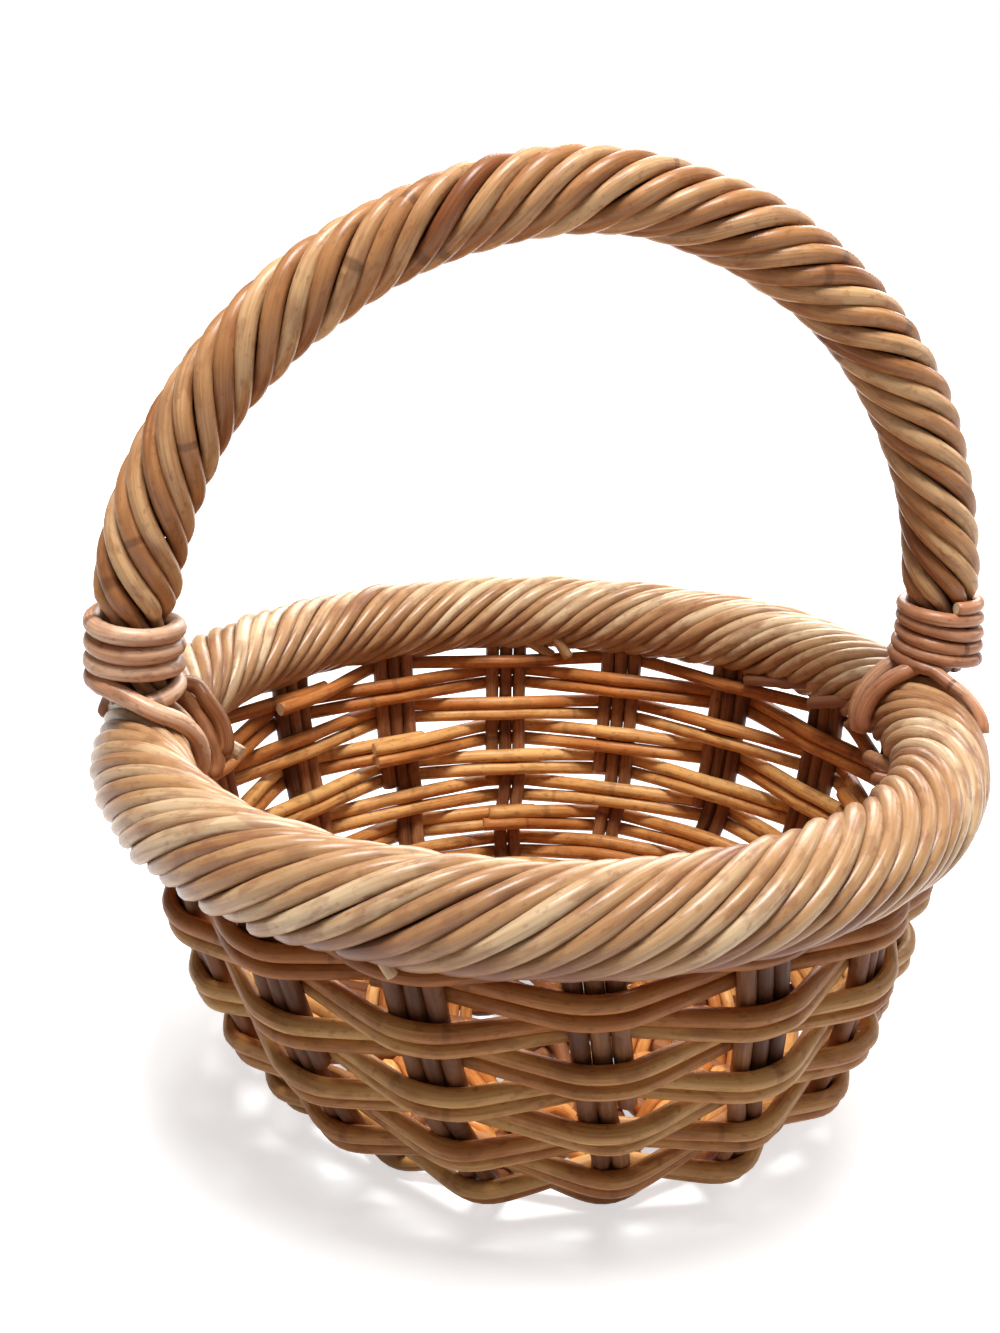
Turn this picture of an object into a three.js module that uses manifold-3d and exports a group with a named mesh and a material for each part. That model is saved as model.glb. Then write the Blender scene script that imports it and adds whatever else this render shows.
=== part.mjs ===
// Round harvest basket of whole cane: an open paired weave on sixteen groups of stakes, a roped border,
// and a bow handle of twisted canes whose two feet are bound with a winding each.
// Millimetres, +Z up. The origin is on the ground, under the middle of the whole basket. The handle stands
// in the XZ plane.

import * as THREE from 'three';
import { mergeVertices } from 'three/addons/utils/BufferGeometryUtils.js';
import Module from 'manifold-3d';

// Driving dimensions

const RIM_RADIUS = 167; // middle of the border rope, seen from above
const RIM_HEIGHT = 159.5; // middle of the border rope above the ground
const RIM_OVAL = 0.947; // the rim is this much narrower across the handle than along it
const RIM_SHIFT = -3; // middle of the rim beside the middle of the whole basket, along X
const RIM_TILT = 0.02; // slope of the hand-woven rim, up to its right end
const BORDER_RADIUS = 20; // border rope, over its strands
const BORDER_GROOVE = 2.4; // depth of the grooves between its strands
const BORDER_STRANDS = 13; // strands met round the border rope
const BORDER_TURNS = 7; // times a strand would wind round the rope on its way about the rim

const WALL_INSET = 6.5; // stakes just under the border, inside the rope's middle
const WALL_TURN = 2.2; // how sharply the wall turns in to the base, where 2 is round
const WALL_BELLY = 1.5; // how far down the wall stays upright
const BASE_EDGE_RADIUS = 104.5; // where the turned stakes reach the level of the base
const BASE_SHIFT_X = 12; // how far the hand-woven wall leans, so that the base sits beside the rim's middle
const BASE_SHIFT_Y = -2.5;
const STAKE_RADIUS = 3.85; // over the corners of the six-sided stake
const STAKE_PRESS = 0.3; // how much stakes side by side flatten each other
const STAKE_LEAN = THREE.MathUtils.degToRad(4); // how far a stake leans round the basket on its way up
const STAKE_END_SPARE = 3.6; // free room beside the inner end of a pair of stakes, in the base
const BYE_STAKE_ROWS = 4.5; // depth of the short third stake, in rows
const CLOSING_ROWS = 2; // rows over which the pair moves to the middle below it

const WEAVER_RADIUS = 3.55; // over the corners of the five-sided weaver
const WALL_FOOT_ROWS = 0.81; // wall below the last row, down to the edge of the base, in rows
const PAIR_GAP = 0.65; // between the two weavers of a row
const FIRST_ROW_GAP = 0.3; // first row under the border
const ROWS = 9; // rows of weave up the wall, the first of them a single weaver
const REACH_OUTSIDE = 2; // how far past a group's edge a weaver stays straight where it goes outside
const REACH_INSIDE = 1.2; // the same where it goes inside
const END_GAP = 0.8; // between the two ends of one weaver, behind a group

const HANDLE_OUTSET = 6.7; // middle of the handle rope at the rim, outside the border's middle
const HANDLE_RISE = 219.9; // middle of the handle over the middle of the border
const HANDLE_UPRIGHT = 2.62; // how long its legs stay upright, where 2 is an ellipse
const HANDLE_CROWN = 1.78; // how flat its top is, where 2 is an ellipse
const HANDLE_CENTRE = 2.7; // middle of its feet, to +X of the rim's middle
const LEFT_LEG_TUCK = 4; // how far the left leg is drawn in at the rim
const HANDLE_SWAY = 9.5; // the hand-bent bow leans this far to +X at its top
const HANDLE_RADIUS = 16.1; // handle rope, over its strands
const HANDLE_FOOT_RADIUS = 12.5; // the same where the windings bind it
const HANDLE_CORE_RADIUS = 7.4; // the thick bow rod inside
const HANDLE_SWELL = 5; // length over which it swells out to its full radius above them
const HANDLE_STRANDS = 8;
const HANDLE_TURNS = 5.75; // turns of a strand between the feet
const LEG_ROWS = 4.3; // depth to which a thinned leg of the bow is pushed down the wall, in rows

const LEFT_WRAPS = 3.45; // turns of the winding round the left foot
const LEFT_WRAP_PITCH = 7.8;
const LEFT_CANE_RADIUS = 3.6;
const LEFT_WRAP_LIFT = 7.2; // the winding starts this far over the foot of the rope
const RIGHT_WRAPS = 5;
const RIGHT_WRAP_PITCH = 6;
const RIGHT_CANE_RADIUS = 2.7;
const RIGHT_WRAP_LIFT = 0.25;
const RIGHT_WRAP_TILT = 0.1; // the first turn of the right winding is lower on its outside
const ROPE_LIFT = 2.6; // foot of the rope over the top of the border
const TAIL_RADIUS = 3.5; // ends of the handle's canes, tucked over the border
const TAIL_PRESS = 0.6; // how far they lie in the grooves of the border
const TAIL_GAP = 2.4; // between them and the foot of the handle, where they come out

const BASE_STICKS = 4; // sticks each way in the cross of the base, with a stake group between their ends
const LANE_GAP = 1.8; // between the sticks where they cross
const BASE_CROSS_SPARE = 1; // free room beside them inside the first coil
const STICK_RADIUS = 3.6;
const BASE_WEAVE_OVERHANG = 2; // the lower weave reaches this far past the edge of the base
const BASE_WEAVE_STEP = 14; // the upper weave ends this far inside it
const BASE_WEAVE_ROUND = 1.5; // how far its inner and outer coils round off
const BASE_WEAVE_THICKNESS = 6.6;
const COIL_PITCH = 12; // two canes side by side
const FOOT_FLAT = 0.5; // worn flat under the outer coils of the base

const CLEARANCE = 0.35; // between canes that lie on each other

// Colours of the finished canes

const straw = new THREE.MeshStandardMaterial({ color: 0xd9b98a, roughness: 0.5, metalness: 0 });
const honey = new THREE.MeshStandardMaterial({ color: 0xb9793c, roughness: 0.5, metalness: 0 });
const tan = new THREE.MeshStandardMaterial({ color: 0xc29258, roughness: 0.5, metalness: 0 });
const brown = new THREE.MeshStandardMaterial({ color: 0x8a5636, roughness: 0.55, metalness: 0 });
const pink = new THREE.MeshStandardMaterial({ color: 0xc08a68, roughness: 0.5, metalness: 0 });

// Worked out from them

const GROUPS = BASE_STICKS * 4;
const STAKE_FLAT = STAKE_RADIUS * Math.cos(Math.PI / 6);
const STAKE_PITCH = STAKE_RADIUS * 2 - STAKE_PRESS;
const WALL_RADIUS = RIM_RADIUS - WALL_INSET;
const FIRST_ROW_DROP = BORDER_RADIUS + FIRST_ROW_GAP;
const HANDLE_HALF_WIDTH = RIM_RADIUS + HANDLE_OUTSET;
const TAIL_BESIDE = HANDLE_FOOT_RADIUS + TAIL_RADIUS + TAIL_GAP - HANDLE_OUTSET;
const LANE_PITCH = STICK_RADIUS * 2 + LANE_GAP;
const STAKE_END_WIDTH = STAKE_PITCH + STAKE_RADIUS * 2 + STICK_RADIUS * 2 + STAKE_END_SPARE;
const STAKE_END_RADIUS = (GROUPS * STAKE_END_WIDTH) / (2 * Math.PI);
const BASE_WEAVE_INNER = BASE_STICKS * LANE_PITCH + BASE_CROSS_SPARE;
const BASE_WEAVE_OUTER = BASE_EDGE_RADIUS + BASE_WEAVE_OVERHANG;
const PAIR_PITCH = WEAVER_RADIUS * (1 + Math.cos(Math.PI / 5)) + PAIR_GAP;
const WEAVE_SWING = STAKE_FLAT + WEAVER_RADIUS + CLEARANCE;
const STAKE_LEVEL = BASE_WEAVE_THICKNESS - FOOT_FLAT + CLEARANCE + STAKE_FLAT;
const WALL_DEPTH = RIM_HEIGHT - FIRST_ROW_DROP - STAKE_LEVEL;
const GROUP_TURN = -Math.asin(STAKE_PITCH / WALL_RADIUS);
const GROUP_ANGLE = (2 * Math.PI) / GROUPS;

// Wall profile: a polyline from the border down and in to the middle of the base, bent between the rows

function wallCurve(depth) {
  const share = Math.min(Math.max(depth / WALL_DEPTH, 0), 1);
  const inward = (1 - share ** WALL_BELLY) ** (1 / WALL_TURN);
  return BASE_EDGE_RADIUS + (WALL_RADIUS - BASE_EDGE_RADIUS) * inward;
}

function curveTable() {
  const table = [{ run: 0, r: WALL_RADIUS, z: RIM_HEIGHT - FIRST_ROW_DROP }];
  const steps = 600;
  for (let i = 1; i <= steps; i += 1) {
    const depth = WALL_DEPTH * Math.sin((i / steps) * (Math.PI / 2)) ** 0.5;
    const r = wallCurve(depth);
    const z = RIM_HEIGHT - FIRST_ROW_DROP - depth;
    const last = table[table.length - 1];
    table.push({ run: last.run + Math.hypot(r - last.r, z - last.z), r, z });
  }
  return table;
}

const curve = curveTable();
const ROW_PITCH = curve[curve.length - 1].run / (ROWS + WALL_FOOT_ROWS);

function onCurve(run) {
  if (run <= 0) return new THREE.Vector2(WALL_RADIUS, RIM_HEIGHT - FIRST_ROW_DROP - run);
  const next = curve.findIndex((point) => point.run >= run);
  if (next < 0) {
    const last = curve[curve.length - 1];
    return new THREE.Vector2(last.r - (run - last.run), last.z);
  }
  const b = curve[next];
  const a = curve[next - 1];
  const share = (run - a.run) / (b.run - a.run);
  return new THREE.Vector2(THREE.MathUtils.lerp(a.r, b.r, share), THREE.MathUtils.lerp(a.z, b.z, share));
}

const borderUnder = Math.sqrt(BORDER_RADIUS ** 2 - (RIM_RADIUS - WALL_RADIUS - STAKE_FLAT) ** 2);
const stakeTop = -(FIRST_ROW_DROP - borderUnder - CLEARANCE);
const bendRows = [-5.5, -3.5, -1.5, -0.5, 0.55, 1.6]; // from the last row
const wallBends = [stakeTop, ...bendRows.map((row) => (ROWS + row) * ROW_PITCH)];
const onBase = wallBends[wallBends.length - 1];
const innerRun = onBase + onCurve(onBase).x - STAKE_END_RADIUS;
wallBends.push(innerRun);
const bendPoints = wallBends.map(onCurve);

// Point of the wall at a run from the first row, with the direction up the wall and the one out of it
function wallAt(run) {
  let i = 1;
  while (i < wallBends.length - 1 && run > wallBends[i]) i += 1;
  const share = (run - wallBends[i - 1]) / (wallBends[i] - wallBends[i - 1]);
  const point = bendPoints[i - 1].clone().lerp(bendPoints[i], share);
  const up = bendPoints[i - 1].clone().sub(bendPoints[i]).normalize();
  return { point, up, out: new THREE.Vector2(up.y, -up.x) };
}

function groupAngle(group, run) {
  return GROUP_TURN + group * GROUP_ANGLE + (STAKE_LEAN * Math.max(run, 0)) / (ROWS * ROW_PITCH);
}

// Takes a point of the round, upright basket to the slightly oval and leaning one
function settled(point) {
  const lean = Math.max(1 - point.z / (RIM_HEIGHT - BORDER_RADIUS), 0);
  const x = point.x + RIM_SHIFT + BASE_SHIFT_X * lean;
  const z = point.z + RIM_TILT * point.x * (1 - lean);
  return new THREE.Vector3(x, point.y * RIM_OVAL + BASE_SHIFT_Y * lean, z);
}

// Turns a point of the profile plane, with a sideways step, to its angle round the basket
function around(angle, r, z, sideways = 0) {
  const c = Math.cos(angle);
  const s = Math.sin(angle);
  return settled(new THREE.Vector3(r * c - sideways * s, r * s + sideways * c, z));
}

// Solids

// Closed solid through rings of points that all have the same count; open ends get a flat cap
function loft(rings, closed = false) {
  const count = rings[0].length;
  const positions = rings.flat().flatMap((p) => [p.x, p.y, p.z]);
  const index = [];
  const spans = closed ? rings.length : rings.length - 1;
  for (let i = 0; i < spans; i += 1) {
    const here = i * count;
    const next = ((i + 1) % rings.length) * count;
    for (let j = 0; j < count; j += 1) {
      const k = (j + 1) % count;
      const [a, b, c, d] = [here + j, next + j, next + k, here + k];
      const ring = rings[(i + 1) % rings.length];
      const split = rings[i][j].distanceTo(ring[k]) < rings[i][k].distanceTo(ring[j]);
      index.push(...(split ? [a, b, c, a, c, d] : [a, b, d, b, c, d]));
    }
  }
  if (!closed) {
    const last = (rings.length - 1) * count;
    const flat = (ring) => {
      const centre = ring.reduce((sum, p) => sum.add(p), new THREE.Vector3()).divideScalar(count);
      const x = ring[0].clone().sub(centre).normalize();
      const side = ring[Math.floor(count / 4)].clone().sub(centre);
      const y = side.sub(x.clone().multiplyScalar(side.dot(x))).normalize();
      return ring.map((p) => new THREE.Vector2(p.clone().sub(centre).dot(x), p.clone().sub(centre).dot(y)));
    };
    for (const [a, b, c] of THREE.ShapeUtils.triangulateShape(flat(rings[0]), [])) index.push(a, b, c);
    for (const [a, b, c] of THREE.ShapeUtils.triangulateShape(flat(rings[rings.length - 1]), [])) {
      index.push(last + a, last + c, last + b);
    }
  }
  const geometry = new THREE.BufferGeometry();
  geometry.setAttribute('position', new THREE.Float32BufferAttribute(positions, 3));
  geometry.setIndex(index);
  return volume(geometry) < 0 ? flipped(geometry) : geometry;
}

function volume(geometry) {
  const p = geometry.attributes.position;
  const index = geometry.index.array;
  const a = new THREE.Vector3();
  const b = new THREE.Vector3();
  const c = new THREE.Vector3();
  let sum = 0;
  for (let i = 0; i < index.length; i += 3) {
    a.fromBufferAttribute(p, index[i]);
    b.fromBufferAttribute(p, index[i + 1]);
    c.fromBufferAttribute(p, index[i + 2]);
    sum += a.dot(b.cross(c)) / 6;
  }
  return sum;
}

function flipped(geometry) {
  const index = Array.from(geometry.index.array);
  for (let i = 0; i < index.length; i += 3) [index[i + 1], index[i + 2]] = [index[i + 2], index[i + 1]];
  geometry.setIndex(index);
  return geometry;
}

const wasm = await Module();
wasm.setup();

function toSolid(geometry) {
  const clean = geometry.clone();
  clean.deleteAttribute('normal');
  clean.deleteAttribute('uv');
  const merged = mergeVertices(clean, 1e-3);
  return new wasm.Manifold(
    new wasm.Mesh({
      numProp: 3,
      vertProperties: new Float32Array(merged.attributes.position.array),
      triVerts: new Uint32Array(merged.index.array),
    }),
  );
}

function toGeometry(solid) {
  const mesh = solid.getMesh();
  const geometry = new THREE.BufferGeometry();
  geometry.setAttribute('position', new THREE.BufferAttribute(new Float32Array(mesh.vertProperties), 3));
  geometry.setIndex(new THREE.BufferAttribute(new Uint32Array(mesh.triVerts), 1));
  return geometry;
}

// Regular outline of a cane, as pairs of offsets, with a corner at the given turn
function outline(sides, radius, turn = 0) {
  return Array.from({ length: sides }, (_, i) => {
    const angle = turn + (i * 2 * Math.PI) / sides;
    return [radius * Math.cos(angle), radius * Math.sin(angle)];
  });
}

const basket = new THREE.Group();

function addPiece(name, geometry, material) {
  geometry.computeVertexNormals();
  const mesh = new THREE.Mesh(geometry, material);
  mesh.name = name;
  basket.add(mesh);
}

// Stakes: two side by side all the way, and a short third one beside them in the upper rows

function pairShift(run) {
  const closed = (BYE_STAKE_ROWS + CLOSING_ROWS) * ROW_PITCH;
  return (-STAKE_PITCH / 2) * THREE.MathUtils.smoothstep(-run, -closed, -BYE_STAKE_ROWS * ROW_PITCH);
}

// Outline of round canes lying side by side and grown together, as pairs of (sideways, out of the wall)
function sideBySide(count) {
  const dip = (STAKE_FLAT * (STAKE_RADIUS - STAKE_PITCH / 2)) / (STAKE_RADIUS / 2);
  const top = [];
  for (let i = 0; i < count; i += 1) {
    const middle = (i - (count - 1) / 2) * STAKE_PITCH;
    top.push([middle - STAKE_RADIUS / 2, STAKE_FLAT], [middle + STAKE_RADIUS / 2, STAKE_FLAT]);
    if (i < count - 1) top.push([middle + STAKE_PITCH / 2, dip]);
  }
  const edge = ((count - 1) / 2) * STAKE_PITCH + STAKE_RADIUS;
  const bottom = top.map(([x, y]) => [x, -y]).reverse();
  return [[-edge, 0], ...top, [edge, 0], ...bottom];
}

function stakeRing(group, run, shape, shift) {
  const { point, out } = wallAt(run);
  const angle = groupAngle(group, run);
  return shape.map(([side, lift]) =>
    around(angle, point.x + out.x * lift, point.y + out.y * lift, side + shift));
}

// Each ring lies in the plane that halves the bend of the profile there
function bendRing(group, i, shape, shift) {
  const run = wallBends[i];
  const before = i > 0 ? wallAt(run - 0.01).out : wallAt(run + 0.01).out;
  const after = i < wallBends.length - 1 ? wallAt(run + 0.01).out : before;
  const out = before.clone().add(after).normalize();
  const stretch = 1 / out.dot(before);
  const angle = groupAngle(group, run);
  return shape.map(([side, lift]) => around(
    angle,
    bendPoints[i].x + out.x * lift * stretch,
    bendPoints[i].y + out.y * lift * stretch,
    side + shift,
  ));
}

const footGroups = [0, GROUPS / 2];

function stakeGroup(group) {
  const pair = loft(wallBends.map((run, i) => bendRing(group, i, sideBySide(2), pairShift(run))));
  if (footGroups.includes(group)) return pair;
  const last = BYE_STAKE_ROWS * ROW_PITCH;
  const rings = wallBends
    .map((run, i) => [run, i])
    .filter(([run]) => run < last - STAKE_RADIUS)
    .map(([, i]) => bendRing(group, i, sideBySide(1), STAKE_PITCH));
  rings.push(stakeRing(group, last, sideBySide(1), STAKE_PITCH));
  return toGeometry(toSolid(pair).add(toSolid(loft(rings))));
}

for (let group = 0; group < GROUPS; group += 1) {
  addPiece(`stake_group_${String(group + 1).padStart(2, '0')}`, stakeGroup(group), brown);
}

// Weavers: each goes outside one group and inside the next, and the next row does the opposite

function groupEdge(run) {
  const wide = run < (BYE_STAKE_ROWS + 0.5) * ROW_PITCH;
  return wide ? STAKE_PITCH : STAKE_PITCH / 2 - pairShift(run);
}

function weaver(row, lift) {
  const run = (row - 1) * ROW_PITCH - lift;
  const { point, up, out } = wallAt(run);
  const edge = groupEdge((row - 1) * ROW_PITCH);
  const section = outline(5, WEAVER_RADIUS);
  const ring = (group, sideways, swing) => section.map(([x, y]) => around(
    groupAngle(group, run),
    point.x + out.x * (swing + x) + up.x * y,
    point.y + out.y * (swing + x) + up.y * y,
    sideways,
  ));
  const first = (row * 5) % GROUPS;
  const start = (first + row) % 2 ? first : first + 1;
  const rings = [ring(start, END_GAP / 2, -WEAVE_SWING)];
  for (let step = 0; step <= GROUPS; step += 1) {
    const group = start + step;
    const outside = (group + row) % 2 === 0;
    const reach = edge + (outside ? REACH_OUTSIDE : REACH_INSIDE);
    const swing = outside ? WEAVE_SWING : -WEAVE_SWING;
    if (step > 0) rings.push(ring(group, -reach, swing));
    if (step < GROUPS) rings.push(ring(group, reach, swing));
  }
  rings.push(ring(start, -END_GAP / 2, -WEAVE_SWING));
  return loft(rings);
}

for (let row = 1; row <= ROWS + 1; row += 1) {
  const label = String(row).padStart(2, '0');
  if (row > 1 && row <= ROWS) addPiece(`weaver_${label}_upper`, weaver(row, PAIR_PITCH / 2), honey);
  addPiece(`weaver_${label}_lower`, weaver(row, -PAIR_PITCH / 2), honey);
}

// Handle: a bow rod, canes twisted round it, and its two thinned legs pushed down beside the stakes

function archPoint(share) {
  const angle = Math.PI * share;
  const c = -Math.cos(angle);
  const rise = Math.sin(angle) ** (2 / HANDLE_UPRIGHT);
  const tuck = c < 0 ? LEFT_LEG_TUCK * (1 - rise) ** 5 : 0;
  const middle = RIM_SHIFT + HANDLE_CENTRE + HANDLE_SWAY * rise ** 2 + tuck;
  const x = middle + HANDLE_HALF_WIDTH * Math.sign(c) * Math.abs(c) ** (2 / HANDLE_CROWN);
  return new THREE.Vector3(x, 0, RIM_HEIGHT + HANDLE_RISE * rise);
}

function archShareAt(height) {
  const rise = (height - RIM_HEIGHT) / HANDLE_RISE;
  return Math.asin(Math.min(rise, 1) ** (HANDLE_UPRIGHT / 2)) / Math.PI;
}

// Height of a foot of the rope, over the border
function footHeight(sign) {
  return RIM_HEIGHT + BORDER_RADIUS + ROPE_LIFT + sign * RIM_TILT * HANDLE_HALF_WIDTH;
}

const leftFoot = archShareAt(footHeight(-1));
const rightFoot = 1 - archShareAt(footHeight(1));

// Even steps along the arch between the feet of the rope
const archSteps = 40;
const archCurve = new THREE.CatmullRomCurve3(
  Array.from({ length: archSteps + 1 }, (_, i) =>
    archPoint(THREE.MathUtils.lerp(leftFoot, rightFoot, i / archSteps))),
  false,
  'centripetal',
);

function archFrame(share) {
  const centre = archCurve.getPointAt(share);
  const along = archCurve.getTangentAt(share);
  const side = new THREE.Vector3(0, 1, 0);
  return { centre, out: new THREE.Vector3().crossVectors(side, along).normalize().negate(), side };
}

const ropeLength = archCurve.getLength();
const leftBound = (LEFT_WRAP_LIFT + LEFT_WRAPS * LEFT_WRAP_PITCH + LEFT_CANE_RADIUS) / ropeLength;
const rightBound = (RIGHT_WRAP_LIFT + RIGHT_WRAPS * RIGHT_WRAP_PITCH + RIGHT_CANE_RADIUS) / ropeLength;
const swell = HANDLE_SWELL / ropeLength;

// Shares of the rope's length at which its canes bend: even ones between the swells over the windings
function ropeStations() {
  const from = leftBound + swell;
  const to = 1 - rightBound - swell;
  const steps = Math.round(HANDLE_TURNS * 5.4);
  const even = Array.from({ length: steps + 1 }, (_, i) => THREE.MathUtils.lerp(from, to, i / steps));
  return [0, leftBound / 2, leftBound, ...even, 1 - rightBound, 1 - rightBound / 2, 1];
}

const ropeShares = ropeStations();

// Share of its full thickness that the handle has: it is drawn in under the windings
function fullness(share) {
  const over = share < 0.5 ? share - leftBound : 1 - share - rightBound;
  const open = THREE.MathUtils.smoothstep(over, 0, swell);
  return THREE.MathUtils.lerp(HANDLE_FOOT_RADIUS / HANDLE_RADIUS, 1, open);
}

function handleStrand(number) {
  const rings = [];
  for (const share of ropeShares) {
    const { centre, out, side } = archFrame(share);
    const outer = HANDLE_RADIUS * fullness(share);
    const middle = (outer + HANDLE_CORE_RADIUS * fullness(share)) / 2 + CLEARANCE;
    const crown = outer - middle;
    const half = (Math.PI * middle) / HANDLE_STRANDS - CLEARANCE / 2;
    const flat = crown * 0.94;
    const shape = [[-half, 0], [-half / 2, flat], [half / 2, flat], [half, 0], [0, -crown * 0.8]];
    const turn = (number / HANDLE_STRANDS + HANDLE_TURNS * share) * 2 * Math.PI;
    rings.push(shape.map(([across, lift]) => {
      const angle = turn + across / middle;
      return centre.clone()
        .addScaledVector(out, (middle + lift) * Math.cos(angle))
        .addScaledVector(side, (middle + lift) * Math.sin(angle));
    }));
  }
  return loft(rings);
}

for (let number = 0; number < HANDLE_STRANDS; number += 1) {
  addPiece(`handle_strand_${number + 1}`, handleStrand(number), tan);
}

// Stations of one leg of the bow, from its tip in the wall up to the foot of the rope
function legStations(group, clearance) {
  const stations = [];
  const thin = STAKE_RADIUS - CLEARANCE + clearance;
  const flat = STAKE_RADIUS + clearance;
  const tip = LEG_ROWS * ROW_PITCH;
  const sideways = STAKE_RADIUS + STAKE_RADIUS / RIM_OVAL;
  for (const run of [tip, wallBends[1], 0, stakeTop]) {
    const { point } = wallAt(run);
    const pointed = run === tip && clearance === 0 ? 0.5 : 1;
    stations.push({
      at: around(groupAngle(group, run), point.x, point.y, sideways),
      across: thin * pointed,
      deep: flat,
    });
  }
  const top = archPoint(group === 0 ? rightFoot : leftFoot);
  const sign = Math.sign(top.x);
  const low = stations[stations.length - 1].at;
  const round = HANDLE_CORE_RADIUS * fullness(0) + clearance;
  for (const share of [0.35, 0.62, 0.82, 1]) {
    const ease = THREE.MathUtils.smoothstep(share, 0, 1);
    stations.push({
      at: new THREE.Vector3(
        sign * THREE.MathUtils.lerp(Math.abs(low.x), Math.abs(top.x), ease),
        THREE.MathUtils.lerp(low.y, 0, ease),
        THREE.MathUtils.lerp(low.z, top.z, share),
      ),
      across: THREE.MathUtils.lerp(thin, round, share),
      deep: THREE.MathUtils.lerp(flat, round, share),
    });
  }
  return stations;
}

function rod(stations, sides) {
  const corners = outline(sides, 1, Math.PI / sides);
  return loft(stations.map(({ at, across, deep }, i) => {
    const before = stations[Math.max(i - 1, 0)].at;
    const after = stations[Math.min(i + 1, stations.length - 1)].at;
    const along = after.clone().sub(before).normalize();
    const side = new THREE.Vector3(0, 1, 0);
    side.addScaledVector(along, -side.dot(along)).normalize();
    const out = new THREE.Vector3().crossVectors(side, along);
    return corners.map(([x, y]) =>
      at.clone().addScaledVector(out, deep * x).addScaledVector(side, across * y));
  }));
}

const bow = [...legStations(GROUPS / 2, 0)];
for (const share of ropeShares.slice(1, -1)) {
  const radius = HANDLE_CORE_RADIUS * fullness(share);
  bow.push({ at: archFrame(share).centre, across: radius, deep: radius });
}
bow.push(...legStations(0, 0).reverse());
addPiece('handle_bow', rod(bow, 6), tan);

// Border: the canes of the rim roped round the basket as one twisted bundle, open where the bow goes down

function borderRope() {
  const steps = BORDER_TURNS * 8;
  const corners = BORDER_STRANDS * 2;
  const rings = [];
  for (let i = 0; i < steps; i += 1) {
    const angle = (i / steps) * 2 * Math.PI;
    rings.push(Array.from({ length: corners }, (_, j) => {
      const turn = (j / corners) * 2 * Math.PI + BORDER_TURNS * angle;
      const radius = j % 2 ? BORDER_RADIUS - BORDER_GROOVE : BORDER_RADIUS;
      return around(angle, RIM_RADIUS + radius * Math.cos(turn), RIM_HEIGHT + radius * Math.sin(turn));
    }));
  }
  let solid = toSolid(loft(rings, true));
  for (const group of footGroups) {
    solid = solid.subtract(toSolid(rod(legStations(group, CLEARANCE * 1.6), 6)));
  }
  return toGeometry(solid);
}

addPiece('border', borderRope(), straw);

// Point on a cane of the given radius that lies on the border: 0 is outside, a quarter turn is on top
function onBorder(angle, turn, radius) {
  const reach = BORDER_RADIUS + radius + CLEARANCE;
  const t = turn * 2 * Math.PI;
  return around(angle, RIM_RADIUS + reach * Math.cos(t), RIM_HEIGHT + reach * Math.sin(t));
}

// Rings of a round cane along points, drawn as five-sided
function tube(points, radius) {
  const shape = outline(5, radius, Math.PI / 2);
  let out = new THREE.Vector3(0, 0, 1).cross(points[1].clone().sub(points[0]));
  return points.map((at, i) => {
    const before = points[Math.max(i - 1, 0)];
    const after = points[Math.min(i + 1, points.length - 1)];
    const along = after.clone().sub(before).normalize();
    out = out.clone().addScaledVector(along, -out.dot(along)).normalize();
    const top = new THREE.Vector3().crossVectors(out, along);
    return shape.map(([x, y]) => at.clone().addScaledVector(out, x).addScaledVector(top, y));
  });
}

// Windings that bind the feet of the handle: one cane each, wound round the leg, then led over the border
function winding({ sign, wraps, pitch, cane, lift, tilt, start, over }) {
  const perLoop = 12;
  const steps = Math.round(wraps * perLoop);
  const radius = HANDLE_FOOT_RADIUS + cane + CLEARANCE * 1.7;
  const bottom = footHeight(sign) + CLEARANCE + lift;
  const middles = over.map(([angle, turn]) => onBorder(angle, turn, cane)).reverse();
  for (let i = 0; i <= steps; i += 1) {
    const loops = i / perLoop;
    const height = bottom + pitch * loops;
    const share = archShareAt(height);
    const centre = archPoint(sign > 0 ? 1 - share : share);
    const angle = (start - loops) * 2 * Math.PI;
    middles.push(new THREE.Vector3(
      centre.x + radius * Math.cos(angle),
      radius * Math.sin(angle),
      height - tilt * (1 - i / steps) * radius * Math.cos(angle),
    ));
  }
  const first = middles[0].clone().sub(middles[1]).normalize();
  const last = middles[middles.length - 1].clone().sub(middles[middles.length - 2]).normalize();
  middles.unshift(middles[0].clone().addScaledVector(first, 2 * cane));
  middles.push(middles[middles.length - 1].clone().addScaledVector(last, 2 * cane));
  const rings = tube(middles, cane);
  return { geometry: loft(rings), rings, perLoop };
}

// Least distance between points of one loop and those of the loops beside it
function leastSelfGap({ rings, perLoop }) {
  let least = Infinity;
  for (let i = 0; i < rings.length; i += 1) {
    for (let j = i + Math.floor(perLoop / 2); j < rings.length; j += 1) {
      for (const a of rings[i]) for (const b of rings[j]) least = Math.min(least, a.distanceTo(b));
    }
  }
  return least;
}

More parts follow.
